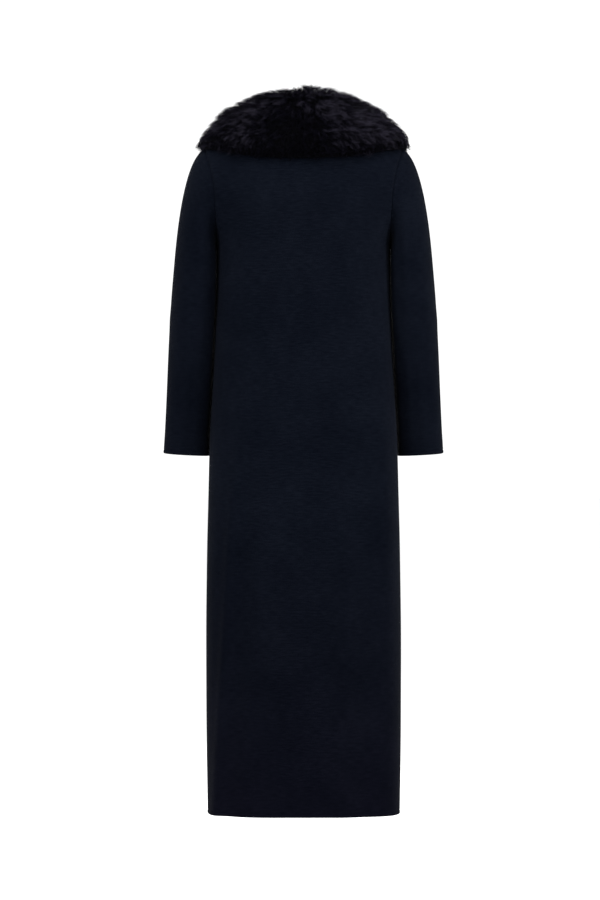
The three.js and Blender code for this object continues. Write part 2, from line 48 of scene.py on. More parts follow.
print("packed pieces:", sorted(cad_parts))

# %% [markdown]
# ## Smooth curves through tables
# A pattern cutter writes down a few measures and draws a fair curve through them. A spline would overshoot
# between two rows. The cubic below can't, because its slope at a row is the harmonic mean of the slopes on
# both sides of it, and is level where those two disagree.

# %% Curves and small tools


def fair(table, column, at):
    """A table's column at places between its rows: cubic Hermite spans with harmonic-mean slopes."""
    keys, values = table[:, 0], table[:, column]
    gaps = np.diff(keys)
    rises = np.diff(values) / gaps
    same_way = rises[:-1] * rises[1:] > 0
    total = np.where(same_way, rises[:-1] + rises[1:], 1)
    inner = np.where(same_way, 2 * rises[:-1] * rises[1:] / total, 0)
    slopes = np.concatenate([rises[:1], inner, rises[-1:]])
    i = np.clip(np.searchsorted(keys, at) - 1, 0, len(keys) - 2)
    t = np.clip((at - keys[i]) / gaps[i], 0, 1)
    ends = values[i] * (2 * t**3 - 3 * t**2 + 1) + values[i + 1] * (3 * t**2 - 2 * t**3)
    return ends + gaps[i] * (slopes[i] * (t**3 - 2 * t**2 + t) + slopes[i + 1] * (t**3 - t**2))


def mix(a, b, t):
    """The straight way from a (t = 0) to b (t = 1)."""
    return a + (b - a) * t


def ease(x, low, high):
    """0 below low, 1 above high, and 3t^2 - 2t^3 between them."""
    t = np.clip((x - low) / (high - low), 0, 1)
    return t * t * (3 - 2 * t)


def bell(x):
    """A soft bump: e to the power of minus x squared."""
    return np.exp(-x * x)


def signed_power(value, power):
    """A power that keeps the sign of its base, for superellipses."""
    return np.sign(value) * np.abs(value) ** power


def superellipse(t, square, least=0):
    """The other coordinate of a unit superellipse: the root of 1 - |t|^square."""
    return np.maximum(least, 1 - np.abs(t) ** square) ** (1 / square)


def length(vectors):
    """The length of each vector, kept as a last axis of one."""
    return np.linalg.norm(vectors, axis=-1, keepdims=True)


def unit(vectors):
    """Each vector at length one."""
    return vectors / np.maximum(length(vectors), 1e-12)


def bezier(a, b, c, d, t):
    """Cubic Bezier curves: the four points weighted by (1-t)^3, 3t(1-t)^2, 3t^2(1-t) and t^3."""
    return (1 - t) ** 3 * a + 3 * t * (1 - t) ** 2 * b + 3 * t**2 * (1 - t) * c + t**3 * d


def as_points(x, y, z):
    """Points from three arrays of coordinates, or numbers among them."""
    return np.stack(np.broadcast_arrays(x, y, z), axis=-1)


def around_in(points, axis):
    """Twice the step from point to point along an axis of a closed grid."""
    return np.roll(points, -1, axis=axis) - np.roll(points, 1, axis=axis)


def grid_normals(points, closed=False):
    """Unit normals of a grid: the cross product of the differences along a row and along a column."""
    across = around_in(points, 1) if closed else np.gradient(points, axis=1)
    return unit(np.cross(across, np.gradient(points, axis=0)))


def ringed(grid, closed):
    """A grid with its first column again at the end, if it is closed."""
    return np.concatenate([grid, grid[:, :1]], axis=1) if closed else grid


def run_along(points, axis):
    """Distance covered along each line of a grid, from its first point."""
    steps = np.linalg.norm(np.diff(points, axis=axis), axis=-1)
    start = np.zeros_like(np.take(steps, [0], axis=axis))
    return np.concatenate([start, np.cumsum(steps, axis=axis)], axis=axis)


# %% [markdown]
# ## Uneven cloth
# Hanging knit is never quite even, but it has no sharp creases. A sum of a few long waves gives such a
# surface. They run mostly up and down, as gravity pulls folds straight.

# %% Uneven cloth
WAVES, WAVE_LEAN = 8, 0.35  # waves in a sum, and the most that one leans, in radians
WAVE_GAIN = 1.6  # brings the usual peaks of their mean to about 1


def waves(x, z, seed, shortest, longest):
    """Mean of sine waves over a plane, about -1 to 1, whose crests lean only a little from upright."""
    draw = np.random.default_rng(seed)
    size = draw.uniform(shortest, longest, WAVES)
    lean = draw.uniform(-WAVE_LEAN, WAVE_LEAN, WAVES)
    start = draw.uniform(0, 2 * np.pi, WAVES)
    phase = 2 * np.pi * (x[..., None] * np.cos(lean) + z[..., None] * np.sin(lean)) / size + start
    return WAVE_GAIN * np.sin(phase).mean(axis=-1)


# %% [markdown]
# ## Meshes from arrays
# Every piece of cloth is a closed wall: an outer grid, an inner grid one cloth thickness away, and rims that
# join them. One function serves flat panels and tubes, and the sign of the enclosed volume tells whether the
# faces point outwards.

# %% Meshes from arrays


def in_metres(values):
    """Millimetres as the flat list of metres that Blender takes."""
    return (values * MM).astype(np.float32).ravel()


def volume(points, faces):
    """Six times the volume in a closed mesh: the sum of the triple products of its triangles."""
    first, *rest = (points[faces[:, k]] for k in range(faces.shape[1]))
    return sum((first * np.cross(b, c)).sum() for b, c in zip(rest, rest[1:]))


def make_piece(name, points, faces, slot, uv=None):
    """An object from points (n by 3, millimetres) and faces (m by k corners), with a UV for each corner."""
    if volume(points, faces) < 0:
        faces, uv = faces[:, ::-1], None if uv is None else uv[:, ::-1]
    mesh = bpy.data.meshes.new(name)
    mesh.vertices.add(len(points))
    mesh.vertices.foreach_set("co", in_metres(points))
    mesh.loops.add(faces.size)
    mesh.loops.foreach_set("vertex_index", faces.astype(np.int32).ravel())
    mesh.polygons.add(len(faces))
    mesh.polygons.foreach_set("loop_start", np.arange(0, faces.size, faces.shape[1], dtype=np.int32))
    mesh.polygons.foreach_set("use_smooth", np.ones(len(faces), dtype=bool))
    if uv is not None:
        mesh.uv_layers.new(name="cloth").data.foreach_set("uv", in_metres(uv))
    mesh.update(calc_edges=True)
    piece = bpy.data.objects.new(name, mesh)
    bpy.context.scene.collection.objects.link(piece)
    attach(piece, "root")
    print(f"{name}: {len(points)} points, {len(faces) * (faces.shape[1] - 2)} triangles")
    return piece


def wall_corners(rows, spans, closed):
    """Corners of a wall's quads as (layer, row, column): two faces, two end rims and, if open, two sides."""
    i, j = (part.ravel() for part in np.mgrid[0 : rows - 1, 0:spans])
    end, side, last = np.arange(spans), np.arange(rows - 1), rows - 1
    strips = [
        [(0, i, j), (0, i, j + 1), (0, i + 1, j + 1), (0, i + 1, j)],
        [(1, i, j), (1, i + 1, j), (1, i + 1, j + 1), (1, i, j + 1)],
        [(0, 0, end + 1), (0, 0, end), (1, 0, end), (1, 0, end + 1)],
        [(0, last, end), (0, last, end + 1), (1, last, end + 1), (1, last, end)],
    ]
    if not closed:
        strips.append([(0, side, 0), (0, side + 1, 0), (1, side + 1, 0), (1, side, 0)])
        strips.append([(0, side + 1, spans), (0, side, spans), (1, side, spans), (1, side + 1, spans)])
    return np.concatenate([np.stack([as_points(*corner) for corner in strip], axis=1) for strip in strips])


def make_wall(name, outer, inner, slot, closed=False, rise=None):
    """A closed wall between two grids. Its UV is the distance along the outer one's rows and up its columns.

    Where rise is given, it is the distance up, so that knitted rows lie as they do in the flat piece.
    """
    rows, columns = outer.shape[:2]
    spans = columns if closed else columns - 1
    layer, i, j = np.moveaxis(wall_corners(rows, spans, closed), -1, 0)
    faces = (layer * rows + i) * columns + j % columns
    points = np.concatenate([outer.reshape(-1, 3), inner.reshape(-1, 3)])
    across = run_along(ringed(outer, closed), 1)
    up = run_along(ringed(outer, closed), 0) if rise is None else rise
    uv = np.stack([(across - across[:, [spans // 2]])[i, j], up[i, j]], axis=-1)
    return make_piece(name, points, faces, slot, uv)


# %% [markdown]
# ## The body's form
# Seen from above, the coat's body is a superellipse: rounder than a box, boxier than an ellipse. Its half
# width, its depth behind and in front of the side seams and its squareness change with the height. Near the
# top the surface rolls over to the shoulder line along a quarter of an ellipse.

# %% Sizes of the body
CLOTH = 2.4  # thickness of the double knit
SEAM = 0.02  # space between two pieces at a seam, which is sewn tight
HEM_Z, UNDERARM_Z = -1338.0, -238.0
NECK_HALF, NECK_BACK_Z, NECK_SHAPE = 75.0, -18.0, 3
SHOULDER_HALF, SHOULDER_TOP, SHOULDER_DROP, SHOULDER_CURVE = 192.0, 20.0, 65.0, 1.35
ROLL_BACK, ROLL_FRONT = (200.0, 120.0), (210.0, 150.0)  # depth of the turn at the middle and at the tip
LAP_LIFT = CLOTH + 1.2  # the right front stands off the left one that it laps over

HALF, BACK, FRONT, SQUARE = 1, 2, 3, 4  # columns of the table
BODY = np.array([
    (-1338, 186.5, 112, 124, 2.9), (-1170, 188.8, 113, 125, 2.9), (-1000, 189.5, 113, 125, 2.8),
    (-830, 187.8, 113, 124, 2.8), (-735, 185.6, 112, 123, 2.7), (-620, 182.7, 109, 121, 2.7),
    (-500, 176, 104, 119, 2.6), (-410, 172.3, 101, 118, 2.6), (-325, 169.3, 101, 119, 2.6),
    (-238, 169, 103, 118, 2.6), (-210, 174.3, 104, 115, 2.6), (-180, 189, 104, 112, 2.6),
    (-150, 205, 104, 108, 2.6), (-120, 212.6, 104, 104, 2.6), (-90, 215, 104, 100, 2.6),
    (-45, 216, 104, 94, 2.6), (30, 216, 104, 86, 2.6),
])
ARMHOLE = np.array([
    (-238, 169), (-210, 169.3), (-180, 170), (-150, 170.8), (-120, 174), (-90, 180), (-60, 188.5), (-45, 192),
])
FRONT_EDGE = np.array([
    (-1338, -30), (-340, -30), (-305, -29), (-275, -22), (-250, -8), (-238, 0.8), (-215, 12), (-190, 22),
    (-150, 38), (-100, 52.5), (-50, 65), (2, NECK_HALF),
])

# %% The body's form


def shoulder_z(x):
    """Height of the shoulder line, which falls with a power of the distance from the middle."""
    return SHOULDER_TOP - SHOULDER_DROP * (np.abs(x) / SHOULDER_HALF) ** SHOULDER_CURVE


def turn_over(x, z, roll):
    """How far the surface has turned over the shoulder: 0 where it is upright, 1 on the shoulder line."""
    depth = mix(roll[0], roll[1], np.minimum(1, np.abs(x) / SHOULDER_HALF))
    return np.maximum(0, (z - shoulder_z(x) + depth) / depth)


def depth_at(x, z, facing, roll):
    """Depth of the cloth from the side seams' plane: superellipse across, quarter ellipse over the top."""
    across = superellipse(x / fair(BODY, HALF, z), fair(BODY, SQUARE, z))
    return fair(BODY, facing, z) * across * superellipse(turn_over(x, z, roll), 2)


def row_z(v, top):
    """Height of a row: v is 0 at the hem, 1 at the underarm and 2 at the top edge."""
    high = mix(UNDERARM_Z, top, (1 - np.cos(np.pi * (v - 1))) / 2)
    return np.where(v <= 1, mix(HEM_Z, UNDERARM_Z, v), high)


def edge_x(v):
    """Distance of a panel's outer edge from the middle: the side seam, then the armhole."""
    z = row_z(v, shoulder_z(SHOULDER_HALF))
    return np.where(v <= 1, fair(BODY, HALF, z), fair(ARMHOLE, 1, z))


# %% [markdown]
# ## Back and fronts
# The back is cut in one piece on the fold. Each front runs 30 mm past the middle, where the right one laps
# over the left, and then opens in a V to the neck. Both are functions of u, across the piece, and v, up it.

# %% The panels as functions of u and v
NECK_U = 0.4  # share of the back's top edge that is neckline


def top_share(u):
    """Share of the half width at a place on the back's top edge, in two straight parts."""
    neck, size = NECK_HALF / SHOULDER_HALF, np.abs(u)
    beside = mix(neck, 1, (size - NECK_U) / (1 - NECK_U))
    return np.sign(u) * np.where(size < NECK_U, neck * size / NECK_U, beside)


def back_top_z(x):
    """Top edge of the back: a neckline that turns up steeply to the shoulder, then the shoulder line."""
    neckline = mix(NECK_BACK_Z, shoulder_z(NECK_HALF), np.minimum(1, np.abs(x) / NECK_HALF) ** NECK_SHAPE)
    return np.where(np.abs(x) >= NECK_HALF, shoulder_z(x), neckline)


def back_form(u, v):
    """The back's outer surface, with u from the right edge (-1) to the left (1).

    Up to the underarm it is the superellipse at u quarter turns. Above, x goes over to the top edge's share.
    """
    low, z_low = v <= 1, row_z(v, 0.0)
    power = 2 / fair(BODY, SQUARE, z_low)
    bow = signed_power(np.sin(u * np.pi / 2), power)
    y_low = fair(BODY, BACK, z_low) * np.abs(np.cos(u * np.pi / 2)) ** power
    z_high = row_z(v, back_top_z(SHOULDER_HALF * top_share(u)))
    x_high = edge_x(v) * mix(bow, top_share(u), v - 1)
    x = np.where(low, fair(BODY, HALF, z_low) * bow, x_high)
    y = np.where(low, y_low, depth_at(x_high, z_high, BACK, ROLL_BACK))
    return as_points(x, y + SEAM / 2, np.where(low, z_low, z_high))


def front_form(side, u, v):
    """A front's outer surface, with u from the front edge (0) to the side seam or armhole (1)."""
    low, z = v <= 1, row_z(v, shoulder_z(mix(NECK_HALF, SHOULDER_HALF, u)))
    square, in_x = fair(BODY, SQUARE, z), fair(FRONT_EDGE, 1, z)
    wide = np.where(low, fair(BODY, HALF, z), edge_x(v))
    start = np.arcsin(np.clip(signed_power(in_x / wide, square / 2), -1, 1))
    turn = mix(start, np.pi / 2, u)
    bow = wide * signed_power(np.sin(turn), 2 / square)
    x = np.where(low, bow, mix(bow, mix(in_x, wide, u), v - 1))
    y_low = fair(BODY, FRONT, z) * np.abs(np.cos(turn)) ** (2 / square)
    y = np.where(low, y_low, depth_at(x, z, FRONT, ROLL_FRONT))
    return as_points(side * x, -y - SEAM / 2, z)


left_form, right_form = partial(front_form, 1), partial(front_form, -1)

# %% [markdown]
# ## Where the grid lines go
# A hem that turns over in a millimetre needs lines a fraction of a millimetre apart, but the plain cloth
# doesn't. So the lines are close together beside each edge and seam, and evenly spaced in between.

# %% Rows and columns
BESIDE_EDGE = np.array([0, 0.15, 0.5, 1.0, 1.7, 2.8, 4.2, 5.6, 7, 8.4, 9.8, 12])  # millimetres from an edge
LOW_STEPS, HIGH_STEPS = 128, 42  # even rows below the underarm, and rows from there to the shoulder
BACK_STEPS, FRONT_STEPS = 88, 40  # even columns
MEASURED_AT, MEASURED_IN = 0.6, 6001  # the row, as v, where columns are laid out, and the points in it


def places(total, count, at_end=False):
    """Distances from 0 to total: close ones at the start and, if asked, the end, and even ones between."""
    end = total - BESIDE_EDGE[::-1] if at_end else np.array([total])
    between = np.linspace(BESIDE_EDGE[-1], end[0], count + 1)[1:-1]
    return np.concatenate([BESIDE_EDGE, between, end])


def columns_of(form, low, count):
    """Values of u from low to 1 that lie evenly along the cloth, and close together beside its edges."""
    fine = np.linspace(low, 1.0, MEASURED_IN)
    reach = run_along(form(fine, np.full_like(fine, MEASURED_AT))[None], 1)[0]
    return np.interp(places(reach[-1], count, at_end=True), reach, fine)


LOW_ROWS = places(UNDERARM_Z - HEM_Z, LOW_STEPS) / (UNDERARM_Z - HEM_Z)
ROWS = np.concatenate([LOW_ROWS, np.linspace(1, 2, HIGH_STEPS + 1)[1:]])
BACK_COLUMNS = columns_of(back_form, -1.0, BACK_STEPS)
FRONT_COLUMNS = columns_of(left_form, 0.0, FRONT_STEPS)
print(len(ROWS), "rows in each panel,", len(BACK_COLUMNS), "columns in the back")

# %% [markdown]
# ## Soft folds
# A full-length coat that hangs from its shoulders breaks into a few long, shallow folds towards the hem. Each
# is a straight ridge or trough with a bell-shaped section. It fades out upwards and towards the side seams,
# so that both panels still meet there. The fainter waves go on top.

# %% Soft folds
BACK_FOLDS = [  # from x, z to x, z, then the width and the height, which is negative for a trough
    (126, -560, 169, -1338, 10, 6.5), (100, -600, 142, -1338, 18, -4.5), (-150, -470, -166, -1180, 20, 6),
    (-112, -560, -122, -1338, 24, -3.5), (6, -520, -14, -1338, 70, -4),
]
FRONT_FOLDS = [
    (96, -300, 118, -1100, 24, 5), (140, -520, 158, -1338, 20, -4), (-88, -280, -124, -1338, 26, 5),
    (-142, -600, -160, -1338, 18, -4),
]
FOLD_START, FOLD_END, FOLD_LOSS = (0, 0.35), (0.6, 1.1), 0.25  # where it grows, where it fades, how much
WAVE_HEIGHT, WAVE_SIZES = 0.9, (60, 190)


def folds_at(folds, x, z):
    """Height of the folds: each one's height times its fade along it times a bell across it."""
    total = np.zeros_like(x)
    for x0, z0, x1, z1, wide, height in folds:
        t = (z - z0) / (z1 - z0)
        fade = ease(t, *FOLD_START) * (1 - FOLD_LOSS * ease(t, *FOLD_END))
        total = total + height * fade * bell((x - mix(x0, x1, t)) / wide)
    return total


def lap_lift(x, z):
    """How far the right front stands out over the left: fully at the lap, fading outwards and upwards."""
    return LAP_LIFT * (1 - ease(-x, 45, 95)) * (1 - ease(z, -200, -40))


# %% [markdown]
# ## Seams, hems and edges
# A seam shows as a fine sunken line, and its allowances lie flat inside the coat. It is sewn tight, and its
# cut edges slant through the cloth, so no light comes through. Round the armhole the stitches gather the
# cloth into short puckers, and the allowance makes a low welt. Hem and front edge are turned in and caught by
# a row of stitches 7 mm from the edge, which leaves a shallow groove. Each of these moves the two faces of
# the wall, and depends mostly on the distance from the edge.

# %% Seams, hems and edges
STITCH_LINE = 7.0  # from the edge to the row of stitches that holds the turning
GROOVE, GROOVE_WIDTH, SWELLING = 0.55, 1.1, 0.4  # the groove along it, and the double cloth below it
DIP, DIP_WIDTH = 1.25, 3.5  # how far the outer face sinks at a seam
ALLOWANCE, ALLOWANCE_RISE = 9.0, 1.1  # width and thickness of the seam allowance inside
WELT, WELT_AT, WELT_WIDTH = 1.1, 6.5, 4.0  # the low welt beside the armhole's seam
PUCKER, PUCKER_REACH, PUCKER_SIZES = 0.4, 9.0, (11, 24)
SEAM_SLANT, SLANT_REACH = 0.4, 3.0
CLOSING = 0.92  # share of the half circle to which a turned edge closes
SIDE_FADE = 0.86  # folds and waves fade from this u to the side seam
CLOSE_TO = 0.0001  # how near u or v is to an edge's value on that edge


def rounded_edge(d):
    """How far each face moves in beside a turned edge, so that the two nearly close in a half circle."""
    t = 1 - np.clip(d / (CLOTH / 2), 0, 1)
    return CLOSING * CLOTH / 2 * (1 - np.sqrt(1 - t * t))


def stitch_groove(d):
    """Depth of the groove along the row of stitches, and a slight swelling of the double cloth below it."""
    swelling = SWELLING * ease(d, 0.8, 2.5) * (1 - ease(d, 4.5, STITCH_LINE))
    return GROOVE * bell((d - STITCH_LINE) / GROOVE_WIDTH) - swelling


def seam_dip(d):
    """How far the outer face sinks towards a seam: a parabola."""
    return DIP * np.clip(1 - d / DIP_WIDTH, 0, 1) ** 2


def allowance_rise(d):
    """Thickness of the pressed allowance on the inside of a seam."""
    return ALLOWANCE_RISE * (1 - ease(d, ALLOWANCE - 1.5, ALLOWANCE)) * ease(d, 0, 1)


def puckers(along, d, seed, reach):
    """Short ridges across a seam: uneven waves about 15 mm apart along it, dying away from it."""
    draw = np.random.default_rng(seed)
    sizes_and_starts = [(draw.uniform(*PUCKER_SIZES), draw.uniform(0, 6)) for _ in range(4)]
    wave = sum(np.sin(2 * np.pi * along / size + start) for size, start in sizes_and_starts) / 2
    return wave * np.exp(-d / reach) * ease(d, 0, 2.5)


def panel(form, columns, folds, seed, open_edge, lift=None):
    """Outer and inner grids of a panel: the plain form, its folds and waves, and its seams and edges.

    With an open edge, the first column is a turned front edge. Without one, it is a seam like the last.
    """
    u, v = columns[None, :], ROWS[:, None]
    plain = form(u, v)
    x, z = plain[..., 0], plain[..., 2]
    normals = grid_normals(plain)
    middle = plain.shape[1] // 2
    normals = normals * np.sign(normals[0, middle, 1] * plain[0, middle, 1])
    at_side = (np.abs(u) > 1 - CLOSE_TO) & (v <= 1)
    at_shoulder = (v > 2 - CLOSE_TO) & (np.abs(x) >= NECK_HALF - 0.01)
    normals = np.where((at_side | at_shoulder)[..., None], unit(normals * (1.0, 0.0, 1.0)), normals)

    shoulder_run = run_along(plain[::-1], 0)[::-1]
    side_run = run_along(plain[:, ::-1], 1)[:, ::-1]
    start_run = run_along(plain, 1)
    seam_run = side_run if open_edge else np.minimum(side_run, start_run)
    hem_run = z - HEM_Z
    off_side = 1 - ease(np.abs(u), SIDE_FADE, 1)
    calm = off_side * ease(shoulder_run, 8, 60) * (ease(start_run, 4, 60) if open_edge else 1)
    height = folds_at(folds, x, z) * off_side + WAVE_HEIGHT * calm * waves(x, z, seed, *WAVE_SIZES)
    if lift is not None:
        height = height + lift(x, z)
    surface = plain + normals * height[..., None]

    pucker = PUCKER * puckers(run_along(plain, 0), seam_run, seed + 1, PUCKER_REACH)
    pucker = pucker * ease(z, UNDERARM_Z, -190) * ease(shoulder_run, 2, 20)
    welt = WELT * bell((seam_run - WELT_AT) / WELT_WIDTH) * ease(z, -170, -100) * ease(shoulder_run, 0, 8)
    turned, groove = rounded_edge(hem_run), stitch_groove(hem_run)
    if open_edge:
        turned = np.maximum(turned, rounded_edge(start_run))
        groove = groove + stitch_groove(start_run) * ease(hem_run, 5, STITCH_LINE)
    dips = np.maximum(seam_dip(seam_run), seam_dip(shoulder_run) * (np.abs(x) > NECK_HALF - 12))
    rise = np.maximum(allowance_rise(seam_run), allowance_rise(shoulder_run)) * ease(hem_run, 2, 8)
    outer = surface + normals * (pucker + welt - turned - groove - dips)[..., None]
    inner = surface - normals * (CLOTH - turned + rise)[..., None]
    inner[..., 1] += SEAM_SLANT * (1 - ease(np.minimum(seam_run, shoulder_run), 0, SLANT_REACH))
    return outer, inner


def knitted_rise(outer):
    """Height of the knitted rows, which run level: the way up the middle column at each point's height."""
    middle = outer[:, [outer.shape[1] // 2]]
    return np.interp(outer[..., 2], middle[:, 0, 2], run_along(middle, 0)[:, 0])


back_grids = panel(back_form, BACK_COLUMNS, BACK_FOLDS, 11, False)
left_grids = panel(left_form, FRONT_COLUMNS, FRONT_FOLDS, 23, True)
right_grids = panel(right_form, FRONT_COLUMNS, FRONT_FOLDS, 37, True, lap_lift)
back, front_left, front_right = (
    make_wall(name, *grids, "knit", rise=knitted_rise(grids[0]))
    for name, grids in (
        ("knit_back", back_grids), ("knit_front_left", left_grids), ("knit_front_right", right_grids),
    )
)

# %% [markdown]
# ## Set-in sleeves
# A sleeve is one piece with its seam under the arm. Its cap is longer than the armhole it is sewn to, so it
# leaves the seam almost flat and then curves down into a tube that hangs a little forward. Each line down it
# starts as a Bezier curve and goes on as a superellipse tube, pressed flat on the side towards the body.

# %% Sizes of the sleeves
SLEEVE = np.array([  # height, outermost and innermost x, front and back y, lean of the ring in x and in y
    (-641.5, 275, 177, -100, -6, 0.05, -0.06), (-532, 268.6, 168, -92, 24, 0.05, -0.06),
    (-435, 263.5, 162, -86, 44, 0.05, -0.06), (-340, 257.5, 158, -82, 56, 0.04, -0.05),
    (-262, 251, 157, -78, 62, 0.03, -0.04),
])
SLEEVE_SQUARE, SLEEVE_CLEAR, SLEEVE_SOFTNESS = 2.3, 3.2, 5.0
CAP = np.array([  # turn round the armhole, outward y and z, how far the cloth keeps it, and the tube's pull
    (0, 0, -0.46, 33, 128), (1, -0.25, -0.35, 26, 50), (1.6, -0.1, -1.6, 11, 20), (2, 0, -1.6, 6, 9),
    (2.4, 0.1, -2.2, 14, 24), (3, 0.12, -0.35, 26, 50), (4, 0, -0.46, 33, 128),
])
CAP_ROWS = np.concatenate([[0, 0.008, 0.02, 0.035, 0.055, 0.08], np.linspace(0.11, 1, 24)])
TUBE_STEPS, TANGENT_STEP = 62, 20.0
ELBOW_CREASES = [  # turn, height, slant, width and height of a soft crease across the bend of the arm
    (3.05, -392, 26, 9, 1.7), (2.9, -428, 18, 11, 1.9), (3.2, -468, -14, 10, 1.4), (0.7, -352, 40, 16, 1.2),
]
CREASE_TURN = 0.75  # half length of a crease, in quarter turns
CAP_PUCKER, CAP_PUCKER_REACH = 1.4, 15.0
CAP_ROLL, CAP_ROLL_AT, CAP_ROLL_WIDTH = 1.3, 5.5, 3.5  # the eased cap rolls over its allowance
SLEEVE_WAVES, SLEEVE_WAVE_SIZES = 0.8, (50, 130)

# %% Set-in sleeves


def body_side(y, z):
    """Distance of the body's side from the middle, at a place in front of or behind it."""
    depth = np.where(y > 0, fair(BODY, BACK, z), fair(BODY, FRONT, z))
    return fair(BODY, HALF, z) * superellipse(y / depth, fair(BODY, SQUARE, z))


def tube_point(turn, z):
    """Points of the hanging tube, turn in quarters from the outside by way of the back.

    A superellipse whose inner side gives way to the body: x becomes the larger of x and the clear distance,
    by the smooth maximum (a + b + sqrt((a - b)^2 + r^2)) / 2.
    """
    outer, inner, front, behind, lean_x, lean_y = (fair(SLEEVE, k, z) for k in range(1, 7))
    half_x, half_y = (outer - inner) / 2, (behind - front) / 2
    off_x = half_x * signed_power(np.cos(turn * np.pi / 2), 2 / SLEEVE_SQUARE)
    off_y = half_y * signed_power(np.sin(turn * np.pi / 2), 2 / SLEEVE_SQUARE)
    y = front + half_y + off_y
    height = z + lean_x * off_x + lean_y * off_y
    x, clear = outer - half_x + off_x, body_side(y, height) + SLEEVE_CLEAR
    pressed = (x + clear + np.hypot(x - clear, SLEEVE_SOFTNESS)) / 2
    return as_points(pressed, y, height)


def armhole_ring(behind, before):
    """The panels' edge round the left armhole, from the shoulder down the back and up the front."""
    down = behind[-HIGH_STEPS - 1 :, -1][::-1].copy()
    down[[0, -1], 1] = 0
    return np.concatenate([down, before[-HIGH_STEPS:-1, -1]])


def creases_at(turn, z):
    """Height of the creases: a bell across each slanting line times a bell along it."""
    total = np.zeros_like(z)
    for whole in (0, 4):  # a crease near the seam goes on past it
        for middle, at, slant, wide, high in ELBOW_CREASES:
            off = turn - whole - middle
            total = total + high * bell((z - at - slant * off) / wide) * bell(off / CREASE_TURN)
    return total


def sleeve_grids():
    """Outer and inner grids of the left sleeve, with its cap, creases, seam, hem and eased puckers."""
    (back_outer, back_inner), (left_outer, left_inner) = back_grids, left_grids
    seam, seam_inside = armhole_ring(back_outer, left_outer), armhole_ring(back_inner, left_inner)
    away = SEAM * unit(np.cross(around_in(seam, 0), seam - seam_inside))
    start = seam + away
    turns = 4 * np.arange(len(seam)) / len(seam)
    bottom, top = SLEEVE[0, 0], SLEEVE[-1, 0]
    end = tube_point(turns, np.full_like(turns, top))
    up = unit(end - tube_point(turns, np.full_like(turns, top - TANGENT_STEP)))
    out_y, out_z, reach, fall = (fair(CAP, k, turns) for k in range(1, 5))
    first = start + unit(as_points(1.0, out_y, out_z)) * reach[:, None]
    cap = bezier(start, first, end + up * fall[:, None], end, CAP_ROWS[:, None, None])
    heights = bottom + places(top - bottom, TUBE_STEPS)[::-1][1:]
    rings = np.concatenate([cap, tube_point(turns[None, :], heights[:, None])])

    inwards, run, z = grid_normals(rings, closed=True), run_along(rings, 0), rings[..., 2]
    cuff_run = run_along(rings[::-1], 0)[::-1]
    turn = turns[None, :] + np.zeros_like(run)
    around = turn * np.pi / 2
    facing_out = ease(np.cos(around), -0.75, -0.2)  # 0 on the side towards the body
    soft = waves(60 * np.cos(around) + 40 * np.sin(2 * around), z * 0.55, 5, *SLEEVE_WAVE_SIZES)
    soft = SLEEVE_WAVES * soft * ease(run, 30, 90) * ease(cuff_run, 0, 60) * mix(0.4, 1, facing_out)
    height = creases_at(turn, z) * facing_out + soft
    eased = CAP_PUCKER * puckers(run_along(seam[None], 1), run, 71, CAP_PUCKER_REACH)
    eased = eased * ease(np.cos(around), -0.7, 0.1) * facing_out
    roll = CAP_ROLL * bell((run - CAP_ROLL_AT) / CAP_ROLL_WIDTH) * ease(np.cos(around), -0.3, 0.5)
    turned = rounded_edge(cuff_run)
    outward = height + roll + eased - turned - stitch_groove(cuff_run) - seam_dip(run) * (run > 0.01)
    inward = CLOTH - height - turned + allowance_rise(run)
    outer, inner = rings - inwards * outward[..., None], rings + inwards * inward[..., None]
    outer[0], inner[0] = start, seam_inside + away
    return outer, inner


def as_knitted(grid):
    """The grid with the cuff first, where knitting starts, and its ends at the seam under the arm."""
    return np.roll(grid[::-1], grid.shape[1] // 2, axis=1)


sleeve_outer, sleeve_inner = (as_knitted(grid) for grid in sleeve_grids())
sleeve_left, sleeve_right = (
    make_wall(name, sleeve_outer * mirror, sleeve_inner * mirror, "knit", closed=True)
    for name, mirror in (("knit_sleeve_left", (1, 1, 1)), ("knit_sleeve_right", (-1, 1, 1)))
)

# %% [markdown]
# ## The collar's band
# The collar is a shawl in two halves, joined behind the neck. Its backing stands up from the neck edge, folds
# over and falls over the shoulders: two Bezier curves at each station, pushed out of the body where they
# would sink into it. The pile on it is thin at the foot and the free edge. It has a high crown at the fold
# behind the neck, a hollow below that, a ridge that runs out and down on each half, and is full over the
# shoulders.

# %% Sizes of the collar
HIGH_S = 0.45  # the station on the shoulder seam
ROLL, EDGE, ARCH, PILE = range(1, 4), range(4, 7), 7, 8  # columns of the table
COLLAR = np.array([  # station, fold x y z, free edge x y z, arch of the fall, depth of the pile
    (0, 0, 72, 40, 0, 89, -73, 5, 24), (0.15, 38, 68, 40, 60, 86, -71, 7, 24),
    (0.27, 68, 52, 38, 113, 73, -66, 9, 24), (0.36, 86, 28, 36, 159, 47, -57, 10, 24),
    (0.45, 94, 2, 32, 199, 3, -50, 9, 24), (0.53, 89, -32, 14, 189, -30, -57, 8, 23),
    (0.61, 72, -64, -20, 170, -52, -75, 6, 22), (0.72, 54, -98, -78, 138, -84, -114, 5, 21),
    (0.83, 39, -120, -142, 100, -106, -168, 4, 19), (0.93, 24, -130, -198, 62, -120, -218, 2, 16),
    (1, 11, -134, -240, 26, -127, -258, 1, 9),
])
COLLAR_CLEAR, COLLAR_SEAM, COLLAR_RIM = 2.4, 0.5, 2.0
PROBE, PUSHES, THINNEST = 0.5, 6, 0.02  # step that feels the body's slope, pushes off it, limit at its sides
STAND_PULL, FALL_PULLS, FALL_ARCHES = 0.35, (0.3, 0.72), (1.5, 1.2)  # where the curves' inner points lie
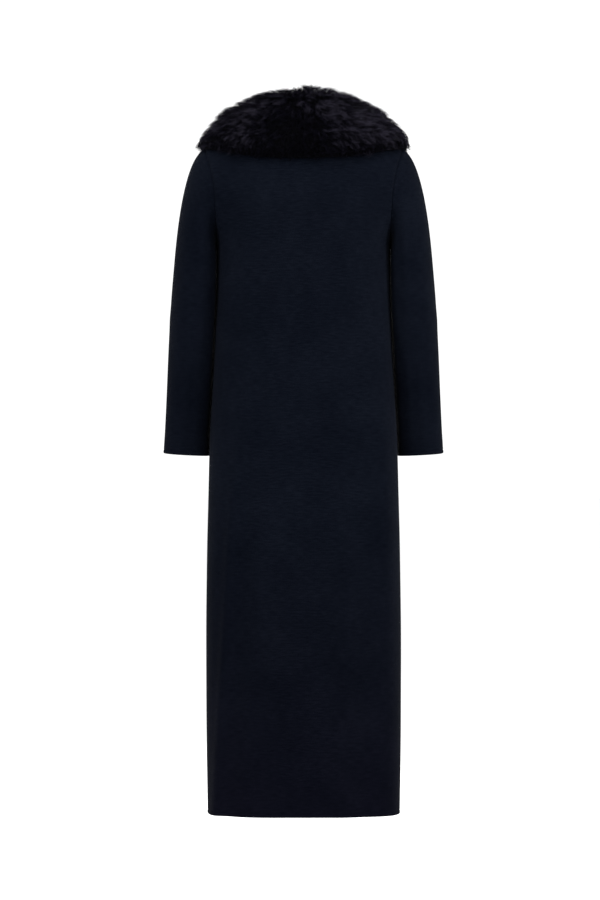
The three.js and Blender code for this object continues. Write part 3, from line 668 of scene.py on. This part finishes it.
FOOT_TAPER, EDGE_TAPER = 0.3, 0.34
STATIONS = np.concatenate([np.linspace(0, HIGH_S, 49), np.linspace(HIGH_S, 1, 61)[1:]])
ACROSS = np.concatenate([np.linspace(0, 1, 19), np.linspace(1, 2, 37)[1:]])
RIDGE = {  # share of the fall, and the station at which the ridge's crest crosses it, for each half
    1: np.array([(0, 0.1), (0.2, 0.2), (0.43, 0.27), (0.8, 0.29), (1, 0.3)]),
    -1: np.array([(0, 0.04), (0.17, 0.1), (0.45, 0.27), (0.8, 0.35), (1, 0.38)]),
}
RIDGE_WIDTH, RIDGE_RISE, RIDGE_STRETCH = 0.035, 0.2, 2.8  # the last is the fall's length over the band's
HOLLOW_REACH, HOLLOW = {1: 0.3, -1: 0.19}, 0.3  # reaches are in stations, heights in shares of the pile
CROWN_REACH, CROWN = {1: 0.155, -1: 0.185}, {1: 0.19, -1: 0.46}
FULLNESS = {1: 0.2, -1: 0.14}  # over the shoulders
EDGE_FLUFF = 10.0  # the strands stand this deep at the foot and at the free edge
MIDDLE_GAP = 0.004  # the two halves are sewn together behind the neck, so hardly any space is left
SKIN_SHARE = 0.55  # share of the pile's depth that is the dense underfur
LUMPS, LUMP_SIZES = 0.1, (14, 40)  # how uneven the underfur is

# %% The collar's band


def table_points(columns, s):
    """Three columns of the collar's table as points."""
    return np.stack([fair(COLLAR, k, s) for k in columns], axis=-1)


def neck_edge(side, s):
    """The panels' neck edge, from the middle of the back to the shoulder, then down the front's V."""
    behind = back_form(NECK_U * np.minimum(s / HIGH_S, 1), np.full_like(s, 2.0))
    v = 2 - np.clip((s - HIGH_S) / (1 - HIGH_S), 0, 1)
    before = front_form(1, np.zeros_like(s), v)
    if side < 0:
        before[:, 1] -= lap_lift(-before[:, 0], before[:, 2])
    return np.where((s <= HIGH_S)[:, None], behind, before)


def body_level(p):
    """How deep points lie in the body's rounded form: under 1 inside it, over 1 outside."""
    x, y, z = np.moveaxis(p, -1, 0)
    across = superellipse(x / fair(BODY, HALF, z), fair(BODY, SQUARE, z), THINNEST)
    behind = np.hypot(y / (fair(BODY, BACK, z) * across), turn_over(x, z, ROLL_BACK))
    before = np.hypot(y / (fair(BODY, FRONT, z) * across), turn_over(x, z, ROLL_FRONT))
    return np.where(y > 0, behind, before)


def clear_of_body(p, distance):
    """Points moved straight out of the body, along the level's slope, until they are that far off it."""
    for _ in range(PUSHES):
        ahead, behind = ([body_level(p + step * axis) for axis in np.eye(3)] for step in (PROBE, -PROBE))
        slope = np.stack([(a - b) / (2 * PROBE) for a, b in zip(ahead, behind)], axis=-1)
        off = (body_level(p) - 1)[..., None] / length(slope)
        p = p + unit(slope) * np.maximum(0, distance - off)
    return p


def backing(side):
    """The backing's grid: stations from the back to the front end, across from the foot to the free edge."""
    s, w, near = STATIONS, ACROSS[None, :, None], 0.01
    foot, roll, edge = neck_edge(side, s), table_points(ROLL, s), table_points(EDGE, s)
    course = unit(table_points(ROLL, np.clip(s + near, 0, 1)) - table_points(ROLL, np.clip(s - near, 0, 1)))
    out, up = edge - roll, roll - foot
    lift = unit(np.cross(course, out))
    arch = fair(COLLAR, ARCH, s)[:, None] * lift
    start = foot + COLLAR_SEAM * unit(up)
    stand = [start, start + STAND_PULL * up, roll - STAND_PULL * length(up) * lift, roll]
    pulled = [roll + pull * out + rise * arch for pull, rise in zip(FALL_PULLS, FALL_ARCHES)]
    stand = bezier(*(p[:, None] for p in stand), np.minimum(w, 1))
    fall = bezier(*(p[:, None] for p in (roll, *pulled, edge)), np.maximum(w - 1, 0))
    band = np.where(w <= 1, stand, fall)
    clear = (COLLAR_CLEAR + LAP_LIFT * (s > HIGH_S))[:, None, None]
    return np.where(w > FOOT_TAPER, clear_of_body(band, clear), band)


def ridge_at(s, w, side):
    """The ridge of thicker pile, 1 on its crest, which runs out from the fold and turns down."""
    fall, step = w - 1, 0.02
    slope = (fair(RIDGE[side], 1, fall + step) - fair(RIDGE[side], 1, fall - step)) / (2 * step)
    off = (s - fair(RIDGE[side], 1, fall)) / np.hypot(1, RIDGE_STRETCH * slope)
    return bell(off / RIDGE_WIDTH) * ease(w, 1.05, 1.15) * (1 - 0.5 * ease(w, 1.75, 2))


def hollow_at(s, w, side):
    """The hollow behind the neck: 1 in the middle, below the fold."""
    return (1 - ease(s, 0.15 * HOLLOW_REACH[side], HOLLOW_REACH[side])) * ease(w, 1.1, 1.4)


def crown_at(s, w, side):
    """The high, round top of the pile behind the neck, with a slight dip over the seam."""
    return (CROWN[side] * bell(s / CROWN_REACH[side]) - 0.04 * bell(s / 0.02)) * bell((w - 0.95) / 0.4)


def pile_depth(s, w, side, rim):
    """Depth of the pile: a rounded bank that ends in the rim's depth, with its crown, ridge and hollow."""
    relief = 1 + crown_at(s, w, side) + RIDGE_RISE * ridge_at(s, w, side) - HOLLOW * hollow_at(s, w, side)
    relief = relief + FULLNESS[side] * bell((w - 1.4) / 0.18) * bell((s - 0.43) / 0.12)
    from_foot, to_edge = np.minimum(1, w / FOOT_TAPER), np.minimum(1, (2 - w) / EDGE_TAPER)
    rounding = np.sqrt(from_foot * (2 - from_foot)) * np.sqrt(np.maximum(0, to_edge * (2 - to_edge)))
    return rim + np.maximum(fair(COLLAR, PILE, s) * relief - rim, 0) * rounding


def own_side(side, points):
    """Points of one half, kept off the middle plane, and mirrored for the wearer's right."""
    kept = points.copy()
    kept[..., 0] = np.maximum(kept[..., 0], MIDDLE_GAP)
    kept[0, :, 0] = MIDDLE_GAP
    return kept * (side, 1, 1)


def collar_half(side, name):
    """One half's band, from the backing to the top of the underfur, and the grids its strands grow on."""
    back_face = backing(side)
    s, w = STATIONS[:, None], ACROSS[None, :]
    normals = -grid_normals(back_face)
    normals[..., 0] *= ease(s, -0.005, 0.05)  # both halves stand straight back at the seam between them
    normals = unit(normals)
    lumps = 1 + LUMPS * waves(300 * s + 90 * w, 120 * w - 200 * s, 3 + side, *LUMP_SIZES)
    under = back_face + normals * (pile_depth(s, w, side, COLLAR_RIM) * SKIN_SHARE * lumps)[..., None]
    band = make_wall(name, own_side(side, under), own_side(side, back_face), "fur")
    return band, (back_face, normals, pile_depth(s, w, side, EDGE_FLUFF))


collar_left, left_ground = collar_half(1, "collar_band_left")
collar_right, right_ground = collar_half(-1, "collar_band_right")

# %% [markdown]
# ## The fur
# Long-pile fur is a dense mat of fine fibres that lie one way, the nap, and cling together in locks, with
# loose ones in between. Each strand here stands for a small tuft: a closed blade with three sides that tapers
# to its tip. It walks over the backing in steps, so it follows every curve, and rises through the pile as it
# goes. Strands are scattered by the area of the fur's outer skin, so no bald stripe opens on the fold. The
# nap runs over the fold, down to the free edge and outwards over the shoulders. Strands lean towards their
# lock's middle, which gives the tufted look. The crown is brushed smooth. Light and shade are painted into
# the strands' colour: painted highlights on the ridge, the crown, the outer fall and the right half, and
# painted shade in the hollow, along the free edge and at the edges of each lock.

# %% Walking over the backing
STRAND_STEPS = np.array([0.0, 0.5, 1.0])  # shares of a strand's length; the last is its tip
STRAND_HALF_WIDTH, TAPER, FLATNESS = 0.3, 0.25, 0.6  # a strand is thinner half way up, and flatter than round
OVER_MIDDLE = 10  # lines of the other half's grid that strands may walk onto
OVER_RIM = 4  # spans that the free edge and the front end are carried on, straight ahead
FULL_PILE, SPARSEST = 16, 0.5  # depth of pile from which strands are densest, and their density without depth


def carried_on(grid, mirror):
    """A grid with the other half's mirrored lines before it, and with its last spans repeated after it."""
    grid = np.concatenate([grid[OVER_MIDDLE:0:-1] * mirror, grid])
    for axis in (1, 0):
        last, before = (np.take(grid, [place], axis) for place in (-1, -2))
        grid = np.concatenate([grid, *(last + (last - before) * k for k in range(1, OVER_RIM + 1))], axis)
    return grid


def on_grid(grid, at):
    """Values between a grid's points, weighted by how close they are to the four corners round them."""
    i, j = at
    i0 = np.clip(np.floor(i).astype(int), 0, grid.shape[0] - 2)
    j0 = np.clip(np.floor(j).astype(int), 0, grid.shape[1] - 2)
    a, b = np.clip(i - i0, 0, 1), np.clip(j - j0, 0, 1)
    if grid.ndim == 3:
        a, b = a[..., None], b[..., None]
    near = mix(grid[i0, j0], grid[i0, j0 + 1], b)
    far = mix(grid[i0 + 1, j0], grid[i0 + 1, j0 + 1], b)
    return mix(near, far, a)


def scattered(draw, points, depth, count):
    """Random places on a grid, as many on each patch as its area and the pile's depth ask for."""
    along, over = np.diff(points, axis=0)[:, :-1], np.diff(points, axis=1)[:-1]
    dense = np.clip(depth[:-1, :-1] / FULL_PILE, SPARSEST, 1)
    patch = np.linalg.norm(np.cross(along, over), axis=-1) * dense
    share = np.cumsum(patch.ravel()) / patch.sum()
    cell = np.searchsorted(share, (np.arange(count) + draw.random(count)) / count)
    i, j = np.divmod(np.minimum(cell, patch.size - 1), patch.shape[1])
    return np.stack([i + draw.random(count), j + draw.random(count)])


# %% Growing the strands
NAP_ANGLE = 0.95  # radians from straight across the band towards its front end
SWIRL, SWIRL_SIZES = 0.5, (25, 70)  # slow turns of the nap
STRANDS_PER_HALF, LOCKS = 34000, 2200
LOCK_SPREAD = 3.0  # how far a lock's strands are rooted round its middle
LOCK_LENGTHS, LOCK_HEIGHTS, BRUSHED_HEIGHT = (15, 28), (0.72, 1.04), 0.95  # heights are shares of the pile
LOCK_TURN, MIDDLE_TURN, STRAND_TURN = 0.22, 0.4, 0.16  # unevenness of locks, of those at the seam, of strands
LOOSE, LOOSE_SPREAD = 0.3, 2.2  # share of strands between the locks, and how much wider they spread
STRAYS, STRAY_HEIGHTS = 0.05, (0.05, 0.22)  # share of strands that stand up, and how far
OVERHANG = 0.7  # share of its reach that a strand keeps past the free edge
SKIN_AT = 0.85  # share of the pile's depth at which the strands lie
LIFT = {1: 0.84, -1: 1.12}  # over the shoulders the right half is fluffed up more than the left
PAINTED_SIDE_LIGHT = {1: 0.9, -1: 1.22}  # painted light: the right half's locks lighter, the left's darker
# painted highlight: the crown's top is painted lighter
PAINTED_CROWN_HIGHLIGHT = {1: 0.1, -1: 0.55}  # and the crown's top is lighter still
# painted highlight on the ridge, painted shade in the hollow and along the free edge, painted light on the
# outer fall
PAINTED_RIDGE_HIGHLIGHT, PAINTED_HOLLOW_SHADE, PAINTED_EDGE_SHADE, PAINTED_FALL_LIGHT = 1.1, 0.78, 0.6, 0.35
# painted shade between locks: the fourth of these makes a lock's middle lighter and its edges darker
TONE, LOOSE_TONE, LOCK_TONE, LOCK_MIDDLE_PAINTED_LIGHT, STRAND_TONE = 0.48, 0.2, 0.4, 0.3, 0.12  # the mean, and its shifts


def painted_fur_light_and_shade(s, w, side):
    """Painted light and shade: locks lighter on ridge, crown, fall and right half, darker in hollow and at
    edge.
    """
    # painted shade along the free edge; painted highlights on ridge, crown and fall; painted shade in the
    # hollow
    under = ease(w, 1.66, 1.84) * (1 - ease(s, 0.33, 0.43))
    shade = (1 + PAINTED_RIDGE_HIGHLIGHT * ridge_at(s, w, side)) * (1 - PAINTED_HOLLOW_SHADE * hollow_at(s, w, side))
    painted_crown_light = PAINTED_CROWN_HIGHLIGHT[side] * bell((w - 0.98) / 0.24) * bell(s / 0.3)
    return shade * (1 - PAINTED_EDGE_SHADE * under) * PAINTED_SIDE_LIGHT[side] * (1 + PAINTED_FALL_LIGHT * ease(w, 1.15, 1.6) + painted_crown_light)


def strands(side, points, normals, depth, count, seed):
    """Paths of strands: each walks with its lock, closes up with it at the tip and rises through the pile."""
    draw = np.random.default_rng(seed)
    skin = points + SKIN_AT * normals * depth[..., None]
    lock_at = scattered(draw, skin, depth, LOCKS)
    lock = np.arange(count) % LOCKS
    steps = [np.maximum(np.linalg.norm(np.gradient(skin, axis=k), axis=-1), 0.8) for k in (0, 1)]
    per = np.stack([on_grid(step, lock_at) for step in steps])[:, lock]  # millimetres from line to line
    full = on_grid(depth, lock_at)
    s, w = (np.interp(at, np.arange(len(lines)), lines) for at, lines in zip(lock_at, (STATIONS, ACROSS)))
    middle = bell(s / 0.07)
    swirl = SWIRL * waves(420 * s, 160 * w, seed + 1, *SWIRL_SIZES)
    nap = NAP_ANGLE * ease(s, 0.0, 0.12) * (1 - 0.7 * ease(w, 1.5, 1.9)) * (1 - middle)
    lock_angle = nap + swirl + draw.normal(0, 1, LOCKS) * (LOCK_TURN + MIDDLE_TURN * middle)
    lock_reach = np.clip(full / COLLAR[0, PILE], 0.4, 1) * draw.uniform(*LOCK_LENGTHS, LOCKS)
    smooth = bell(s / 0.2) * bell((w - 0.95) / 0.45)  # the crown
    lock_high = mix(draw.uniform(*LOCK_HEIGHTS, LOCKS), BRUSHED_HEIGHT, 0.75 * smooth)
    lock_high = lock_high * mix(1, LIFT[side], ease(w, 1.45, 1.85))
    lock_tone = draw.normal(0, LOCK_TONE, LOCKS) * (1 - 0.6 * smooth)

    loose = draw.random(count) < LOOSE
    off = draw.normal(0, 1, (2, count)) * np.where(loose, LOOSE_SPREAD, 1) * LOCK_SPREAD
    rim = points.shape[1] - 1
    root = lock_at[:, lock] + off / per
    root = np.stack([np.abs(root[0]), np.clip(root[1], 0, rim)])
    angle = lock_angle[lock] + draw.normal(0, STRAND_TURN, count)
    reach = lock_reach[lock] * draw.uniform(0.75, 1.1, count)
    stray = draw.random(count) < STRAYS
    pull = np.where(stray | loose, 0, draw.uniform(0.5, 0.95, count))
    tip = root + reach * np.stack([np.sin(angle), np.cos(angle)]) / per
    goal = lock_at[:, lock] + reach * np.stack([np.sin(lock_angle), np.cos(lock_angle)])[:, lock] / per
    tip = mix(tip, goal, pull)
    tip[1] = np.where(tip[1] > rim, mix(rim, tip[1], OVERHANG), tip[1])

    near = bell(np.hypot(*off) / 5)  # 1 in the middle of the lock
    high = lock_high[lock] + 0.12 * (near - 0.5) + stray * draw.uniform(*STRAY_HEIGHTS, count)
    t = STRAND_STEPS[None, :]
    walk = mix(root[..., None], tip[..., None], t**1.25)
    walk[0] += OVER_MIDDLE
    ground = on_grid(carried_on(points, (-1, 1, 1)), walk)
    up = unit(on_grid(carried_on(normals, (-1, 1, 1)), walk))
    room = np.clip(on_grid(carried_on(depth, 1), walk), 0.55 * EDGE_FLUFF, full[lock][:, None] * 1.15)
    path = ground + up * (mix(0.4, high[:, None], 1 - (1 - t) ** 1.8) * room)[..., None]
    # painted shade between locks: strands at a lock's edge are darker than at its middle
    strand_tone_and_painted_light = TONE - LOOSE_TONE * loose + lock_tone[lock] + LOCK_MIDDLE_PAINTED_LIGHT * (near - 0.5)
    # painted light and shade: each strand's random lightness is multiplied by the collar's painted highlights
    # and shade
    strand_tone_and_painted_light = (strand_tone_and_painted_light + draw.normal(0, STRAND_TONE, count)) * painted_fur_light_and_shade(s, w, side)[lock]
    return path * (side, 1, 1), up * (side, 1, 1), np.clip(strand_tone_and_painted_light, 0, 1.5), s[lock]


BLADE = np.array([  # triangles of a strand: two rings of three points, and the tip
    (0, 1, 4), (0, 4, 3), (1, 2, 5), (1, 5, 4), (2, 0, 3), (2, 3, 5),
    (3, 4, 6), (4, 5, 6), (5, 3, 6), (0, 2, 1),
])
FUR_SPLIT = 0.52  # the station where a half's fur parts into two pieces


def blades(path, up):
    """Points and triangles of closed three-sided blades round the paths."""
    course = unit(np.gradient(path, axis=1))
    sideways = unit(np.cross(course, up))
    over = np.cross(sideways, course)
    radius = STRAND_HALF_WIDTH * (1 - TAPER * STRAND_STEPS[:-1])[None, :, None]
    corners = [
        path[:, :-1] + radius * (np.cos(a) * sideways + FLATNESS * np.sin(a) * over)[:, :-1]
        for a in np.radians([90, 210, 330])
    ]
    rings = np.stack(corners, axis=2).reshape(len(path), -1, 3)
    points = np.concatenate([rings, path[:, -1:]], axis=1)
    faces = BLADE + points.shape[1] * np.arange(len(path))[:, None, None]
    return points.reshape(-1, 3), faces.reshape(-1, 3)


def fur_piece(name, path, up, strand_tone_and_painted_light):
    """One piece of fur, whose colour attribute is each strand's brightness, painted darker towards its root as
    shade.
    """
    piece = make_piece(name, *blades(path, up), "fur")
    along = np.append(np.repeat(STRAND_STEPS[:-1], 3), 1.0)
    # painted shade: each strand's colour darkens towards its root
    tone_and_painted_light = (0.1 + 0.9 * along[None, :]) * (0.05 + 0.95 * strand_tone_and_painted_light[:, None])
    attribute = piece.data.attributes.new("tone_and_painted_light", "FLOAT", "POINT")
    attribute.data.foreach_set("value", np.clip(tone_and_painted_light, 0, 1).astype(np.float32).ravel())
    return piece


fur = {}
for side, word, ground in ((1, "left", left_ground), (-1, "right", right_ground)):
    *grown, s = strands(side, *ground, STRANDS_PER_HALF, 100 + side)
    fur[word] = [
        fur_piece(f"fur_{word}_{part}", *(values[chosen] for values in grown))
        for part, chosen in (("behind", s < FUR_SPLIT), ("before", s >= FUR_SPLIT))
    ]
print(2 * STRANDS_PER_HALF, "strands")

# %% [markdown]
# ## The knit's finish
# The cloth is a fine double knit in very dark navy: upright columns of V-shaped stitches 1.5 mm wide, with a
# V every millimetre. The pattern follows the cloth, so it reads the UV map, which is in metres on each piece.
# Each stitch is a cosine along the column whose phase slides outwards from its middle, which makes the V.
# Yarn is never dyed quite evenly, so slow noise shifts the colour a little, and noise stretched along the rows
# gives faint level lines. Towards the hem the colour is darkened as painted shade. Its fuzz catches light at
# the edges, which is what sheen is for.

# %% Node helpers


class Sketch:
    """A new material's node tree, with short calls for the kinds of node used here."""

    def __init__(self, name):
        self.material = bpy.data.materials.new(name)
        self.material.use_nodes = True
        self.tree = self.material.node_tree
        self.shader = self.tree.nodes["Principled BSDF"]

    def feed(self, socket, value):
        """Links a socket to another, or sets it to a plain value."""
        if isinstance(value, bpy.types.NodeSocket):
            self.tree.links.new(value, socket)
        else:
            socket.default_value = value

    def node(self, kind, output, inputs=(), **settings):
        """One output of a new node, whose inputs are fed by name or number."""
        made = self.tree.nodes.new("ShaderNode" + kind)
        for key, value in settings.items():
            setattr(made, key, value)
        for key, value in dict(inputs).items():
            self.feed(made.inputs[key], value)
        return made.outputs[output]

    def sum(self, operation, *values):
        """One step of arithmetic."""
        return self.node("Math", 0, enumerate(values), operation=operation)

    def noise(self, vector, scale, detail=2.0, roughness=0.5):
        """Soft random noise, from 0 to 1, over a vector."""
        inputs = {"Vector": vector, "Scale": scale, "Detail": detail, "Roughness": roughness}
        return self.node("TexNoise", "Fac", inputs)

    def along(self, vector, axis):
        """One part of a vector."""
        return self.node("SeparateXYZ", axis, {0: vector})

    def ramp(self, value, *stops):
        """Colours along a value from 0 to 1, each stop a place and its colour."""
        colour = self.node("ValToRGB", "Color", {"Fac": value})
        elements = colour.node.color_ramp.elements
        for element, (place, shown) in zip(elements, (stops[0], stops[-1])):
            element.position, element.color = place, (*shown, 1)
        for place, shown in stops[1:-1]:
            elements.new(place).color = (*shown, 1)
        return colour

    def bump(self, height, strength, distance, *below):
        """Relief of one height, over another relief where one is given."""
        inputs = {"Strength": strength, "Distance": distance, "Height": height}
        return self.node("Bump", "Normal", {**inputs, **{"Normal": relief for relief in below}})

    def finish(self, **sockets):
        """Sets the shader's own sockets, with spaces for underscores in their names."""
        for key, value in sockets.items():
            self.feed(self.shader.inputs[key.replace("_", " ")], value)
        return self.material


# %% The knit's finish
WALE, COURSE = 0.0015, 0.00105  # width of a column of stitches, and height of a row, in metres
V_DEPTH = 1.3  # slope of a V's arms, in rows for one column's width
LOOP_RELIEF, RIB_RELIEF, ROW_SHARE = 0.3, 0.25, 0.55  # weights in the relief, and of the rows in the colour
KNIT_COLOURS = (
    (0.34, (0.0008, 0.0013, 0.0030)), (0.5, (0.00146, 0.00215, 0.0043)), (0.66, (0.0024, 0.0033, 0.0060)),
)
# painted shade: factors that darken the knit's colour towards the hem, between two heights
HEM_PAINTED_SHADE = (0.0, (0.85, 0.64, 0.76)), (0.5, (0.86, 0.80, 0.84)), (1.0, (1.0, 1.0, 1.0))
PAINTED_SHADE_FROM, PAINTED_SHADE_TO = -1.34, -0.75  # heights, in metres


def knit_finish():
    """Dark navy double knit: V stitches, uneven rows, slow colour shifts, painted hem shade, a soft surface.
    """
    k = Sketch("navy_double_knit")
    uv, here = k.node("UVMap", "UV", uv_map="cloth"), k.node("TexCoord", "Object")
    wale, course = k.sum("DIVIDE", k.along(uv, "X"), WALE), k.sum("DIVIDE", k.along(uv, "Y"), COURSE)
    off_middle = k.sum("ABSOLUTE", k.sum("SUBTRACT", k.sum("FRACT", wale), 0.5))
    phase = k.sum("ADD", course, k.sum("MULTIPLY", off_middle, V_DEPTH))
    loop = k.sum("COSINE", k.sum("MULTIPLY", phase, 2 * np.pi))
    rib = k.sum("COSINE", k.sum("MULTIPLY", off_middle, 4 * np.pi))
    stitch = k.sum("SUBTRACT", k.sum("MULTIPLY", loop, LOOP_RELIEF), k.sum("MULTIPLY", rib, RIB_RELIEF))
    rows = k.noise(k.node("Mapping", "Vector", {"Vector": uv, "Scale": (60, 330, 1)}), 1.0, 2.0, 0.55)
    patches, fuzz = k.noise(here, 9.0, 3.0, 0.55), k.noise(here, 900.0, 2.0, 0.6)
    shade = k.sum("ADD", k.sum("MULTIPLY", rows, ROW_SHARE), k.sum("MULTIPLY", patches, 1 - ROW_SHARE))
    # painted shade: the knit's colour is multiplied darker towards the hem
    height = enumerate((k.along(here, "Z"), PAINTED_SHADE_FROM, PAINTED_SHADE_TO))
    painted_hem_shade = k.ramp(k.node("MapRange", 0, height, clamp=True), *HEM_PAINTED_SHADE)
    inputs = {"Factor": 1.0, 6: k.ramp(shade, *KNIT_COLOURS), 7: painted_hem_shade}
    return k.finish(
        Base_Color=k.node("Mix", 2, inputs, data_type="RGBA", blend_type="MULTIPLY"),
        Normal=k.bump(fuzz, 0.3, 0.0002, k.bump(rows, 0.2, 0.0004, k.bump(stitch, 0.5, 0.0003))),
        Roughness=0.92, Specular_IOR_Level=0.015,
        Sheen_Weight=0.004, Sheen_Roughness=0.45, Sheen_Tint=(0.85, 0.9, 1.0, 1.0),
    )


# %% [markdown]
# ## The fur's finish
# Black fur is never flat black: fibres are darkest at the root, where light hardly reaches, and get lighter
# and bluer towards the tip, where each has a narrow gloss. Here the dark root is painted shade in the strands'
# colour, which they carry as an attribute together with the painted light and shade of the locks. The
# underfur between them has the darker colours from noise, and a rough, tufted relief.

# %% The fur's finish
# colours from root to tip; the dark root end is painted shade
FUR_COLOURS = (
    (0.0, (0.0003, 0.0003, 0.0006)), (0.4, (0.0022, 0.0020, 0.0044)), (1.0, (0.0186, 0.0170, 0.0256)),
)
UNDERFUR_COLOURS = (0.3, (0.0003, 0.0003, 0.0005)), (0.75, (0.0012, 0.0011, 0.0018))


def strand_finish():
    """Near-black fibres that lighten to a cool tip, coloured with the painted light and shade they carry."""
    k = Sketch("black_fur_strands")
    tone_and_painted_light = k.node("Attribute", "Fac", attribute_name="tone_and_painted_light")
    return k.finish(
        Base_Color=k.ramp(tone_and_painted_light, *FUR_COLOURS), Roughness=0.45,
        Specular_IOR_Level=0.03, Specular_Tint=(0.84, 0.8, 1.0, 1.0),
    )


def underfur_finish():
    """The dense, dark mat under the strands."""
    k = Sketch("black_underfur")
    here = k.node("TexCoord", "Object")
    tufts, fibres = k.noise(here, 160.0, 3.0, 0.65), k.noise(here, 1400.0, 2.0, 0.6)
    relief = k.bump(fibres, 0.5, 0.0006, k.bump(tufts, 0.8, 0.003))
    colour = k.ramp(tufts, *UNDERFUR_COLOURS)
    return k.finish(Base_Color=colour, Roughness=0.85, Specular_IOR_Level=0.02, Normal=relief)


for finish, pieces in (
    (knit_finish(), (back, front_left, front_right, sleeve_left, sleeve_right)),
    (strand_finish(), fur["left"] + fur["right"]), (underfur_finish(), (collar_left, collar_right)),
):
    for piece in pieces:
        piece.data.materials.append(finish)
    print(finish.name, "on", len(pieces), "pieces")

# %% [markdown]
# ## What stands for what
# Each piece takes the place of its plain solid, which is hidden. The table gives how large its cloth was
# before it was sewn, and that area is printed beside the area the piece measures. Those sizes are the
# cut's: a back as wide as the hem plus its curve, fronts with the lap, and sleeves opened flat.

# %% What stands for what


def cloth_area(grid):
    """Area of a grid in square metres: half of both cross products of each quad's sides."""
    across, up = np.diff(grid, axis=1), np.diff(grid, axis=0)
    halves = np.cross(across[:-1], up[:, :-1]), np.cross(across[1:], up[:, 1:])
    return sum(np.linalg.norm(half, axis=-1).sum() for half in halves) / 2 * MM * MM


SLEEVE_FACE = ringed(sleeve_outer, True)
for piece, node, grid, cut, area in (  # the cut in metres, the area in square metres
    (back, "back", back_grids[0], (0.52, 1.38), 0.634),
    (front_left, "front_left", left_grids[0], (0.31, 1.42), 0.351),
    (front_right, "front_right", right_grids[0], (0.31, 1.42), 0.351),
    (sleeve_left, "sleeve_left", SLEEVE_FACE, (0.37, 0.62), 0.182),
    (sleeve_right, "sleeve_right", SLEEVE_FACE, (0.37, 0.62), 0.182),
):
    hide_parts(node)
    print(node, "is cut with", area, "and measures", round(cloth_area(grid), 3), "square metres")
for piece, node, word in ((collar_left, "collar_left", "left"), (collar_right, "collar_right", "right")):
    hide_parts(node)
print("each collar half measures", round(cloth_area(left_ground[0]), 3), "square metres")

# %% [markdown]
# ## Stage, light and camera
# A plain pale floor lies as far below the hem as if the coat hung on a person. The room is white all round,
# which shows dark cloth without hard shadows. One soft light hangs high behind the coat, two tall ones stand
# at its sides and a little behind it, and one stands in front. The camera looks level from 6 m behind. Dark
# cloth needs the standard view transform: a filmic one would lift it to grey.

# %% Stage, light and camera
FLOOR_Z, FLOOR_REACH, ROOM_LIGHT = -1.62, 60.0, 1.12
corners = [(x * FLOOR_REACH, y * FLOOR_REACH, FLOOR_Z) for x, y in ((-1, -1), (1, -1), (1, 1), (-1, 1))]
floor_mesh = bpy.data.meshes.new("floor")
floor_mesh.from_pydata(corners, [], [(0, 1, 2, 3)])
floor = bpy.data.objects.new("floor", floor_mesh)
bpy.context.scene.collection.objects.link(floor)
pale = Sketch("pale_floor")
grain = pale.noise(pale.node("TexCoord", "Object"), 3.0)
colour = pale.ramp(grain, (0.3, (0.90, 0.90, 0.90)), (0.7, (0.93, 0.93, 0.93)))
floor_mesh.materials.append(pale.finish(Base_Color=colour, Roughness=0.9, Specular_IOR_Level=0.1))

world = bpy.data.worlds.new("white_room")
bpy.context.scene.world = world
world.use_nodes = True
world.node_tree.nodes["Background"].inputs["Color"].default_value = (1, 1, 1, 1)
world.node_tree.nodes["Background"].inputs["Strength"].default_value = ROOM_LIGHT


def soft_light(name, place, target_z, size, power):
    """A rectangular light at a place, turned to face a point on the coat's upright axis."""
    light = bpy.data.lights.new(name, "AREA")
    light.shape, light.size, light.size_y, light.energy = "RECTANGLE", size[0], size[1], power
    lamp = bpy.data.objects.new(name, light)
    bpy.context.scene.collection.objects.link(lamp)
    lamp.location = place
    x, y, z = np.array((0, 0, target_z)) - place
    lamp.rotation_euler = (np.arctan2(np.hypot(x, y), -z), 0, np.arctan2(-x, y))


soft_light("light_above", (-0.4, 1.2, 3.0), -0.1, (1.6, 0.9), 98)
soft_light("light_left", (2.6, 1.9, 1.0), -0.4, (0.6, 1.6), 88)
soft_light("light_right", (-2.9, 1.4, 0.9), -0.4, (0.6, 1.8), 130)
soft_light("light_front", (0.6, -3.2, 1.6), -0.4, (1.6, 1.6), 90)

camera = bpy.data.objects.new("camera", bpy.data.cameras.new("camera"))
bpy.context.scene.collection.objects.link(camera)
bpy.context.scene.camera = camera
camera.location = (0.0068, 6.0, -0.6334)
camera.rotation_euler = (np.pi / 2, 0, np.pi)
camera.data.sensor_width, camera.data.lens = 36.0, 123.1
camera.data.dof.use_dof = False
bpy.context.scene.view_settings.view_transform = "Standard"
